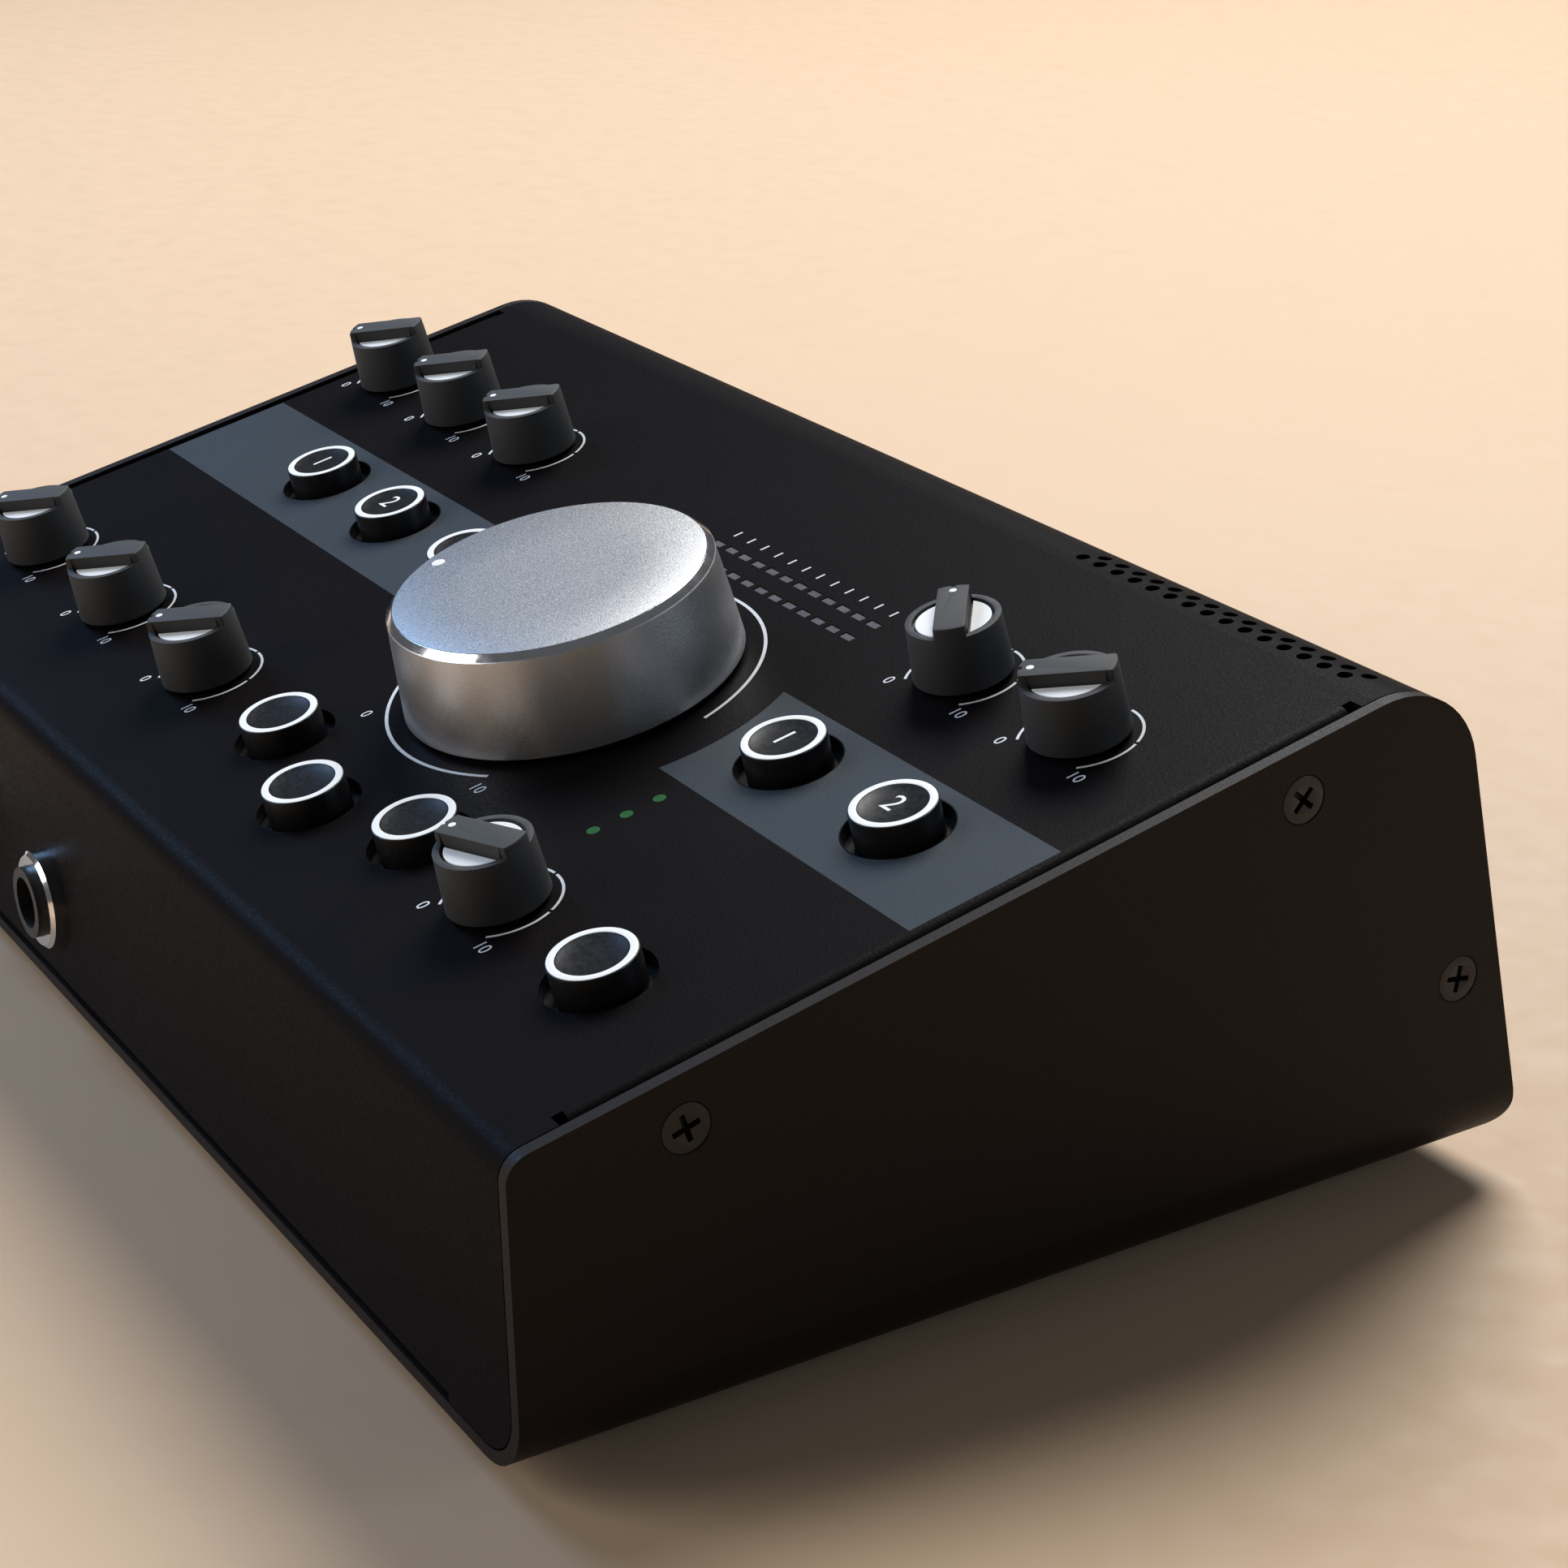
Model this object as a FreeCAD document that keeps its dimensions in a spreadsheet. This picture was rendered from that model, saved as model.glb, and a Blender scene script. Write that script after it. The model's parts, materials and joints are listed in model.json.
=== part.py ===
import FreeCAD, Part
import math
import os

import Sketcher

# Desktop studio monitor controller, millimetres, +Z up, front towards -Y.
# A bent steel tray (underside and both end panels) carries a bent steel cover
# (front, sloping deck and rear). Knobs and buttons stand on the deck, phone
# sockets are in the front, and the line, input, data and power sockets are in
# the rear. The deck frame has its origin where the deck and the front meet:
# x across, u up the slope, w square to the deck.

doc = FreeCAD.newDocument("MonitorController")
sheet = doc.addObject("Spreadsheet::Sheet", "Sizes")

SIZES = [
    ("body_width", 200.0, "width over the end panels"),
    ("front_height", 35.5, "underside to the deck's front edge"),
    ("deck_slope", 12.5, "slope of the deck, degrees"),
    ("deck_length", 115.4, "deck from front edge to rear face, along the slope"),
    ("wall", 1.5, "steel sheet"),
    ("panel_gap", 0.2, "cover to tray"),
    ("tray_bend", 7.8, "outer radius between underside and end panels"),
    ("front_bend", 3.0, "outer radius between front and deck"),
    ("rear_bend", 11.0, "outer radius between deck and rear"),
    ("heel_bend", 5.0, "outer radius at the bottom of the rear"),
    ("side_bend", 1.8, "outer radius between deck and side flanges"),
    ("flange_depth", 11.0, "side flange below the deck"),
    ("flange_front", 8.0, "front end of the side flange along the deck"),
    ("flange_rear", 101.5, "rear end of the side flange along the deck"),
    ("rear_flange_top", 14.0, "upper end of the rear flange below the deck"),
    ("rear_flange_low", 46.0, "lower end of the rear flange below the deck"),
    ("relief", 1.3, "bend relief slots"),
    ("lip_length", 9.0, "inward lip at the bottom of the rear"),
    ("front_relief", 1.0, "front's lower edge raised between its corners"),
    ("front_relief_margin", 15.6, "end of the raised edge from each end panel"),
    ("foot_height", 3.0, "rubber foot under the underside"),
    ("foot_radius", 6.0, "rubber foot"),
    ("foot_inset", 16.0, "foot centre from the end panels"),
    ("foot_front", 14.0, "front feet behind the front"),
    ("foot_rear", 108.0, "rear feet behind the front"),
    ("screw_inset", 5.85, "side screws from the deck and the rear face"),
    ("screw_front", 18.0, "front side screw along the deck"),
    ("screw_rear", 92.7, "rear side screw along the deck"),
    ("screw_low", 36.7, "low side screw below the deck"),
    ("screw_radius", 1.5, "screw shank"),
    ("screw_length", 6.0, "screw under the outer face"),
    ("head_radius", 2.65, "countersunk head"),
    ("hole_clearance", 0.15, "holes round screw shanks"),
    ("fit_gap", 0.05, "running fit of shafts and stems"),
    ("front_row", 21.5, "front row of controls along the deck"),
    ("mute_row", 16.3, "middle button of the front group"),
    ("volume_row", 51.6, "volume knob along the deck"),
    ("select_row", 57.3, "select buttons along the deck"),
    ("rear_row", 80.6, "rear row of knobs along the deck"),
    ("right_column", 79.3, "rightmost controls"),
    ("right_pitch", 21.45, "spacing of the right hand columns"),
    ("mute_column", 20.6, "middle button of the front group"),
    ("group_pitch", 18.35, "spacing of the front group"),
    ("source_column", -63.3, "leftmost source button"),
    ("source_pitch", 21.9, "spacing of source buttons"),
    ("input_column", -44.8, "rightmost input knob"),
    ("phones_column", -21.3, "rightmost phones knob"),
    ("phones_pitch", 28.6, "spacing of the phones knobs"),
    ("volume_column", 19.6, "volume knob"),
    ("volume_angle", 204.6, "way the volume knob points, degrees"),
    ("volume_base", 20.3, "volume knob radius at its base"),
    ("volume_top", 19.2, "volume knob radius at its top"),
    ("volume_height", 13.2, "volume knob above the deck"),
    ("volume_rim", 0.7, "bright bevel round the top"),
    ("knob_base", 5.7, "small knob radius at its base"),
    ("knob_top", 5.3, "small knob radius at its top"),
    ("knob_height", 8.5, "small knob above the deck"),
    ("knob_gap", 0.5, "knob's lower edge above the deck"),
    ("grip_width", 3.5, "bar across the small knob"),
    ("grip_rise", 1.3, "bar above the shoulders"),
    ("knob_rim", 0.7, "rim round the recess in each shoulder"),
    ("recess_depth", 0.5, "recess in each shoulder"),
    ("shaft_radius", 3.0, "control shaft"),
    ("volume_turn", 290.0, "turn of the volume control, degrees"),
    ("bushing_radius", 3.5, "threaded bushing of a control"),
    ("board_depth", 13.0, "top of the control board below the deck"),
    ("board_thickness", 1.6, "circuit boards"),
    ("board_margin", 5.0, "control board inside the cover"),
    ("board_front", 7.5, "control board's front edge along the deck"),
    ("board_rear", 96.5, "control board's rear edge along the deck"),
    ("button_radius", 4.8, "button cap"),
    ("button_rise", 2.9, "button above the deck"),
    ("button_edge", 0.2, "rounded edge of the cap"),
    ("button_hole", 6.05, "hole round a button"),
    ("button_flange", 0.9, "flange on the button beyond the hole's edge"),
    ("button_travel", 1.2, "press of a button"),
    ("stem_radius", 1.6, "button stem"),
    ("switch_side", 7.0, "key switch on the board"),
    ("switch_height", 5.0, "key switch above the board"),
    ("lamp_column", 53.1, "status lamps"),
    ("lamp_row", 35.4, "lowest status lamp along the deck"),
    ("lamp_pitch", 4.15, "spacing of the status lamps"),
    ("lamp_radius", 0.75, "status lamp"),
    ("meter_column", 3.6, "first meter lamp"),
    ("meter_row", 77.4, "lower meter row along the deck"),
    ("meter_spacing", 3.6, "upper meter row beyond the lower"),
    ("meter_pitch", 3.2, "spacing of the meter lamps"),
    ("meter_length", 2.2, "meter lamp"),
    ("meter_width", 1.1, "meter lamp"),
    ("vent_column", 93.2, "vent hole nearest the right end"),
    ("vent_row", 106.3, "lower vent row along the deck"),
    ("vent_spacing", 1.85, "upper vent row beyond the lower"),
    ("vent_pitch", 3.3, "spacing of the vent holes"),
    ("vent_radius", 0.85, "vent hole"),
    ("socket_bore", 3.25, "bore of a quarter inch socket"),
    ("socket_depth", 14.0, "depth of that bore from its nose"),
    ("socket_nose", 4.5, "threaded nose of a phone socket"),
    ("nose_reach", 3.0, "nose beyond the panel"),
    ("nut_radius", 6.2, "round nut on the nose"),
    ("nut_thickness", 1.9, "nut"),
    ("socket_width", 15.0, "socket housing"),
    ("socket_length", 22.0, "socket housing behind the panel"),
    ("phones_jack_column", -27.5, "front socket nearest the middle"),
    ("phones_jack_pitch", 28.0, "spacing of the front sockets"),
    ("phones_jack_height", 13.0, "front sockets above the underside"),
    ("line_row", 24.5, "line sockets below the deck"),
    ("line_column", 82.0, "rightmost line socket"),
    ("line_pitch", 18.2, "spacing of the line sockets"),
    ("combo_column", -81.0, "leftmost input socket"),
    ("combo_pitch", 30.0, "spacing of the input sockets"),
    ("combo_row", 33.0, "input sockets below the deck"),
    ("combo_radius", 11.9, "input socket in the rear face"),
    ("combo_bore", 9.6, "mouth of the input socket"),
    ("combo_depth", 13.0, "depth of that mouth"),
    ("combo_flange", 13.0, "half width of the input socket's face"),
    ("combo_face", 1.2, "face of the input socket on the panel"),
    ("combo_length", 24.0, "input socket behind the panel"),
    ("low_rise", 15.45, "data and power sockets up the rear from the underside"),
    ("data_column", 14.0, "square data socket"),
    ("data_width", 12.0, "data socket housing"),
    ("data_height", 11.0, "data socket housing"),
    ("data_mouth_width", 8.6, "data socket mouth"),
    ("data_mouth_height", 7.8, "data socket mouth"),
    ("data_depth", 9.0, "data socket mouth"),
    ("inlet_column", 60.0, "power inlet"),
    ("inlet_radius", 4.4, "power inlet nose"),
    ("inlet_bore", 3.15, "power inlet bore"),
    ("inlet_pin", 1.05, "power inlet pin"),
    ("power_column", 82.0, "power button"),
    ("phantom_column", -66.0, "phantom power button"),
    ("phantom_row", 14.8, "phantom power button below the deck"),
    ("push_radius", 3.2, "round push button in the rear face"),
    ("push_reach", 3.0, "push button beyond the rear face"),
    ("push_edge", 0.4, "bevelled edge of a rear push button"),
    ("push_travel", 2.0, "press of a rear push button"),
    ("rear_board_front", 92.0, "connector board's front edge along the deck"),
    ("post_radius", 2.5, "board posts"),
    ("post_column", 90.0, "outer board posts"),
    ("post_front", 38.0, "front board posts along the deck"),
    ("post_rear", 90.0, "rear board posts along the deck"),
    ("pot_side", 10.0, "small control housing"),
    ("pot_height", 6.5, "small control housing"),
    ("volume_pot_side", 17.0, "volume control housing"),
    ("volume_pot_height", 7.5, "volume control housing"),
]

for number, (alias, value, note) in enumerate(SIZES, start=1):
    sheet.set("A%d" % number, note)
    sheet.set("B%d" % number, str(value))
    sheet.setAlias("B%d" % number, alias)
doc.recompute()


# Sheet values with their formulas

class Size:
    """A number together with the sheet formula that gives it."""

    def __init__(self, text, value):
        self.text = text
        self.value = float(value)

    def join(self, other, sign, value):
        return Size("(%s %s %s)" % (self.text, sign, other.text), value)

    def __add__(self, other):
        other = as_size(other)
        return self.join(other, "+", self.value + other.value)

    def __radd__(self, other):
        return as_size(other) + self

    def __sub__(self, other):
        other = as_size(other)
        return self.join(other, "-", self.value - other.value)

    def __rsub__(self, other):
        return as_size(other) - self

    def __mul__(self, other):
        other = as_size(other)
        return self.join(other, "*", self.value * other.value)

    def __rmul__(self, other):
        return as_size(other) * self

    def __truediv__(self, other):
        other = as_size(other)
        return self.join(other, "/", self.value / other.value)

    def __neg__(self):
        return Size("(0 - %s)" % self.text, -self.value)


def as_size(number):
    if isinstance(number, Size):
        return number
    return Size("(%s)" % repr(float(number)), number)


def root(size):
    return Size("sqrt(%s)" % size.text, math.sqrt(size.value))


S = {alias: Size("Sizes." + alias, value) for alias, value, note in SIZES}

# Columns spread with the width, rows with the deck and the front sockets with
# the front, so that the layout holds when the housing changes. The sheet gives
# them for a housing of the layout's width, length and height.
COLUMNS = ["right_column", "right_pitch", "mute_column", "group_pitch", "source_column", "source_pitch",
           "phones_column", "phones_pitch", "input_column", "volume_column", "lamp_column", "meter_column",
           "meter_pitch", "vent_column", "vent_pitch", "phones_jack_column", "phones_jack_pitch",
           "line_column", "line_pitch", "combo_column", "combo_pitch", "data_column", "inlet_column",
           "power_column", "phantom_column", "post_column"]
ROWS = ["front_row", "mute_row", "volume_row", "select_row", "rear_row", "lamp_row", "lamp_pitch",
        "meter_row", "vent_row", "flange_front", "flange_rear", "screw_front", "screw_rear",
        "board_front", "board_rear", "post_front", "post_rear", "foot_front", "foot_rear",
        "rear_board_front"]
LAYOUT_WIDTH, LAYOUT_LENGTH, LAYOUT_HEIGHT = 200.0, 115.4, 35.5
for alias in COLUMNS:
    S[alias] = S[alias] * (S["body_width"] / LAYOUT_WIDTH)
for alias in ROWS:
    S[alias] = S[alias] * (S["deck_length"] / LAYOUT_LENGTH)
S["phones_jack_height"] = S["phones_jack_height"] * (S["front_height"] / LAYOUT_HEIGHT)

slope = S["deck_slope"]
sin_slope = Size("sin(%s)" % slope.text, math.sin(math.radians(slope.value)))
cos_slope = Size("cos(%s)" % slope.text, math.cos(math.radians(slope.value)))
half_width = S["body_width"] / 2
wall = S["wall"]

# The phone sockets' noses are the furthest forward and the power button's tip
# is the furthest back. The origin is midway between them.
heel = S["heel_bend"]
low_row = (S["front_height"] + S["deck_length"] * sin_slope) / cos_slope - S["low_rise"]
rear_board_depth = low_row + S["data_height"] / 2
rear_reach = ((S["deck_length"] + S["push_reach"]) * cos_slope
              + (low_row + S["push_radius"] - S["push_edge"]) * sin_slope)
front_y = (S["nose_reach"] - rear_reach) / 2
deck_z = S["foot_height"] + S["front_height"]


def vector(x, y, z):
    return FreeCAD.Vector(as_size(x).value, as_size(y).value, as_size(z).value)


X_AXIS = FreeCAD.Vector(1, 0, 0)
Z_AXIS = FreeCAD.Vector(0, 0, 1)
DECK = FreeCAD.Placement(vector(0, front_y, deck_z), FreeCAD.Rotation(X_AXIS, slope.value))


def on_deck(x, u, w=0, turn=0):
    """Placement of a piece that stands square to the deck."""
    return DECK.multiply(FreeCAD.Placement(vector(x, u, w), FreeCAD.Rotation(Z_AXIS, turn)))


def out_of_rear(x, depth, reach=0):
    """Placement whose Z axis points straight out of the rear face."""
    place = FreeCAD.Placement(vector(x, S["deck_length"] + reach, -depth), FreeCAD.Rotation(X_AXIS, -90))
    return DECK.multiply(place)


def out_of_front(x, height):
    """Placement whose Z axis points straight out of the front."""
    return FreeCAD.Placement(vector(x, front_y, S["foot_height"] + height), FreeCAD.Rotation(X_AXIS, 90))


# Sketches and features, every size bound to the sheet

def bind(thing, name, size):
    setattr(thing, name, as_size(size).value)
    thing.setExpression(name, as_size(size).text)


def new_body(label, place=None):
    body = doc.addObject("PartDesign::Body", label)
    body.Label = label
    if place is not None:
        body.Placement = place
    return body


def new_sketch(body, plane, offset=0, turn=0):
    """Sketch on one of the body's planes, moved along that plane's normal."""
    sketch = body.newObject("Sketcher::SketchObject", body.Label + "_sketch")
    base = [item for item in body.Origin.OriginFeatures if item.Role == plane][0]
    sketch.AttachmentSupport = [(base, "")]
    sketch.MapMode = "FlatFace"
    sketch.AttachmentOffset = FreeCAD.Placement(vector(0, 0, offset), FreeCAD.Rotation(X_AXIS, turn))
    sketch.setExpression("AttachmentOffset.Base.z", as_size(offset).text)
    return sketch


waiting = []


def tie(kind, *parts):
    waiting.append((Sketcher.Constraint(kind, *parts), None))


def datum(kind, parts, size):
    waiting.append((Sketcher.Constraint(kind, *parts, as_size(size).value), as_size(size).text))


def settle(sketch):
    """Give the open sketch its waiting constraints and their formulas."""
    first = sketch.ConstraintCount
    sketch.addConstraint([constraint for constraint, formula in waiting])
    for row, (constraint, formula) in enumerate(waiting, start=first):
        if formula:
            sketch.setExpression("Constraints[%d]" % row, formula)
    waiting.clear()


def pin(shape, point, x, y):
    datum("DistanceX", (-1, 1, shape, point), x)
    datum("DistanceY", (-1, 1, shape, point), y)


def polygon(sketch, corners):
    points = [vector(x, y, 0) for x, y in corners]
    count = len(points)
    lines = [sketch.addGeometry(Part.LineSegment(points[i], points[(i + 1) % count])) for i in range(count)]
    for i in range(count):
        tie("Coincident", lines[i], 2, lines[(i + 1) % count], 1)
        pin(lines[i], 1, *corners[i])


def box_outline(sketch, x, y, wide, high):
    left, right = x - wide / 2, x + wide / 2
    low, top = y - high / 2, y + high / 2
    polygon(sketch, [(left, low), (right, low), (right, top), (left, top)])


def circle(sketch, x, y, radius):
    shape = sketch.addGeometry(Part.Circle(vector(x, y, 0), Z_AXIS, as_size(radius).value))
    pin(shape, 3, x, y)
    datum("Radius", (shape,), radius)


def feature(body, kind, sketch, length, side="Symmetric"):
    settle(sketch)
    item = body.newObject("PartDesign::" + kind, body.Label + "_" + kind.lower())
    item.Profile = sketch
    bind(item, "Length", length)
    item.SideType = side
    sketch.Visibility = False
    return item


def revolve(body, sketch):
    settle(sketch)
    item = body.newObject("PartDesign::Revolution", body.Label + "_turned")
    item.Profile = sketch
    item.ReferenceAxis = (sketch, ["V_Axis"])
    item.Angle = 360
    return item


def edges_where(shape, test):
    return ["Edge%d" % (i + 1) for i, edge in enumerate(shape.Edges) if test(edge)]


def dress(body, kind, names, size):
    """Fillet or chamfer on edges of the body's last feature."""
    base = body.Tip
    item = body.newObject("PartDesign::" + kind, body.Label + "_" + kind.lower())
    item.Base = (base, names)
    bind(item, "Radius" if kind == "Fillet" else "Size", size)
    doc.recompute()
    return item


def repeat(body, item, pitch, count):
    """Row of copies of one feature along the body's X axis."""
    doc.recompute()
    row = body.newObject("PartDesign::LinearPattern", body.Label + "_row")
    row.Originals = [item]
    row.Direction = (item.Profile[0], ["H_Axis"])
    row.Mode = "Spacing"
    row.Occurrences = count
    bind(row, "Offset", pitch)
    body.Tip = row
    doc.recompute()


def along_x_at(y, z):
    """Test for the straight edges along X through one point of the YZ plane."""
    y, z = as_size(y).value, as_size(z).value

    def test(edge):
        first, last = edge.Vertexes[0].Point, edge.Vertexes[-1].Point
        level = abs(first.y - last.y) + abs(first.z - last.z) < 1e-6
        return level and abs(first.y - y) + abs(first.z - z) < 1e-4
    return test


def turned(label, place, outline):
    """A body turned about its Z axis from an outline of (radius, height) corners."""
    body = new_body(label, place)
    sketch = new_sketch(body, "XZ_Plane")
    polygon(sketch, outline)
    revolve(body, sketch)
    return body


def group(label, shapes):
    """Like pieces that share one file, each a solid of its own."""
    item = doc.addObject("Part::Feature", label)
    item.Label = label
    item.Shape = Part.makeCompound(shapes)
    return item


def placed(shape, place):
    copy = shape.copy()
    copy.Placement = place
    return copy


# Side view of the housing in deck coordinates (u, w)

def front_line(inset, w):
    """Point at height w on the front, moved inwards by inset."""
    return (inset + w * sin_slope) / cos_slope


def floor_line(rise, u):
    """Point at u on the underside, moved upwards by rise."""
    return (rise - S["front_height"] - u * sin_slope) / cos_slope


def floor_front(inset, rise):
    """Corner of the underside and the front, moved by rise and inset."""
    u = inset * cos_slope + (rise - S["front_height"]) * sin_slope
    w = (rise - S["front_height"]) * cos_slope - inset * sin_slope
    return u, w


def outline(inset, rise):
    """Four corners of the side view, moved inwards, its floor raised."""
    rear = S["deck_length"] - inset
    return [floor_front(inset, rise), (rear, floor_line(rise, rear)), (rear, -inset),
            (front_line(inset, -inset), -inset)]


deck_screws = [(S["screw_front"], -S["screw_inset"]), (S["screw_rear"], -S["screw_inset"]),
               (S["deck_length"] - S["screw_inset"], -S["screw_low"])]


def world_yz(u, w):
    return front_y + u * cos_slope - w * sin_slope, deck_z + u * sin_slope + w * cos_slope


def side_prism(label, place, inset, floor_rise, width, bends):
    """Prism of the side view with its front, rear and heel corners rounded."""
    body = new_body(label, place)
    sketch = new_sketch(body, "YZ_Plane")
    corners = outline(inset, floor_rise)
    polygon(sketch, corners)
    feature(body, "Pad", sketch, width)
    doc.recompute()
    for (u, w), radius in zip([corners[3], corners[2], corners[1]], bends):
        dress(body, "Fillet", edges_where(body.Tip.Shape, along_x_at(u, w)), radius)
    return body


# Tray: the underside and both end panels from one bent sheet

def round_bottom(body, x, z, radius):
    """Round the two bottom edges that run front to back at x and height z."""
    def bottom_edge(edge):
        middle = edge.CenterOfMass
        return abs(abs(middle.x) - x.value) < 1e-4 and abs(middle.z - z.value) < 1e-4
    dress(body, "Fillet", edges_where(body.Tip.Shape, bottom_edge), radius)


def common(label, bodies):
    """The solid that several bodies share."""
    shared = doc.addObject("Part::MultiCommon", label)
    shared.Label = label
    shared.Shapes = bodies


def make_tray():
    channel = new_body("tray_channel")
    sketch = new_sketch(channel, "XZ_Plane")
    low, top = S["foot_height"], S["foot_height"] + S["front_height"] * 3
    inner = half_width - wall
    polygon(sketch, [(-half_width, low), (half_width, low), (half_width, top), (inner, top),
                     (inner, low + wall), (-inner, low + wall), (-inner, top), (-half_width, top)])
    feature(channel, "Pad", sketch, S["deck_length"] * 2)
    doc.recompute()
    round_bottom(channel, half_width, low, S["tray_bend"])
    round_bottom(channel, inner, low + wall, S["tray_bend"] - wall)
    holes = new_sketch(channel, "YZ_Plane")
    for u, w in deck_screws:
        circle(holes, *world_yz(u, w), S["screw_radius"] + S["hole_clearance"])
    feature(channel, "Pocket", holes, S["body_width"] * 2)
    doc.recompute()

    def rim(edge):
        round_edge = isinstance(edge.Curve, Part.Circle) and edge.Curve.Radius < S["head_radius"].value
        return round_edge and abs(abs(edge.CenterOfMass.x) - half_width.value) < 1e-4
    dress(channel, "Chamfer", edges_where(channel.Tip.Shape, rim), S["head_radius"] - S["screw_radius"])

    profile = side_prism("tray_outline", DECK, as_size(0), as_size(0), S["body_width"] * 2,
                         [S["front_bend"], S["rear_bend"], heel])
    common("chassis_tray", [channel, profile])


# Cover: front, deck and rear from one bent sheet, with side flanges

cover_half = half_width - wall - S["panel_gap"]
rise = wall + S["panel_gap"]

button_places = {
    "cue_button": (S["right_column"], S["front_row"]),
    "dim_button": (S["mute_column"] + S["group_pitch"], S["front_row"]),
    "mute_button": (S["mute_column"], S["mute_row"]),
    "mono_button": (S["mute_column"] - S["group_pitch"], S["front_row"]),
    "monitor_a_button": (S["right_column"] - S["right_pitch"], S["select_row"]),
    "monitor_b_button": (S["right_column"], S["select_row"]),
    "source_1_button": (S["source_column"], S["select_row"]),
    "source_2_button": (S["source_column"] + S["source_pitch"], S["select_row"]),
    "source_3_button": (S["source_column"] + S["source_pitch"] * 2, S["select_row"]),
}

# Small knobs: place on the deck and the angle at which each pointer stands
knob_places = {
    "talkback_knob": (S["right_column"] - S["right_pitch"], S["front_row"], 200.0),
    "trim_a_knob": (S["right_column"] - S["right_pitch"], S["rear_row"], 142.0),
    "trim_b_knob": (S["right_column"], S["rear_row"], 225.0),
    "phones_mix_knob": (S["phones_column"] - S["phones_pitch"] * 2, S["front_row"], 225.0),
    "phones_1_knob": (S["phones_column"] - S["phones_pitch"], S["front_row"], 225.0),
    "phones_2_knob": (S["phones_column"], S["front_row"], 225.0),
    "input_1_knob": (S["input_column"] - S["right_pitch"] * 2, S["rear_row"], 225.0),
    "input_2_knob": (S["input_column"] - S["right_pitch"], S["rear_row"], 225.0),
    "input_3_knob": (S["input_column"], S["rear_row"], 225.0),
}

METER_LAMPS = 12
VENTS_PER_ROW = 15
LINE_SOCKETS = 6

volume_place = (S["volume_column"], S["volume_row"])
lamp_places = [(S["lamp_column"], S["lamp_row"] + S["lamp_pitch"] * i) for i in range(3)]
meter_places = [(S["meter_column"] + S["meter_pitch"] * i, S["meter_row"] + S["meter_spacing"] * j)
                for i in range(METER_LAMPS) for j in range(2)]
phone_columns = [S["phones_jack_column"] - S["phones_jack_pitch"] * i for i in range(2)]
line_columns = [S["line_column"] - S["line_pitch"] * i for i in range(LINE_SOCKETS)]
combo_columns = [S["combo_column"] + S["combo_pitch"] * i for i in range(2)]

through = wall * 2 + S["rear_bend"] / 2


def flange_outlines():
    """Side flanges under the deck and inside the rear, in deck coordinates."""
    deep, half = S["flange_depth"], wall / 2
    top = (S["flange_front"], S["flange_rear"], -deep, -half)
    rear = (S["deck_length"] - deep, S["deck_length"] - half, -S["rear_flange_low"], -S["rear_flange_top"])
    return [[(a, c), (b, c), (b, d), (a, d)] for a, b, c, d in (top, rear)]


def cover_bend(edge):
    """Outer edges of the cover along a flange."""
    box = edge.BoundBox
    middle = edge.CenterOfMass
    at_side = abs(abs(middle.x) - cover_half.value) < 1e-4 and box.XLength < 1e-4
    on_top = abs(middle.z) < 1e-4 and box.ZLength < 1e-4 and box.YLength > S["deck_length"].value / 2
    behind = abs(middle.y - S["deck_length"].value) < 1e-4 and box.YLength < 1e-4
    tall = box.ZLength > (S["rear_flange_low"] - S["rear_flange_top"]).value - 2 * S["relief"].value
    return at_side and (on_top or (behind and tall))


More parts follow.
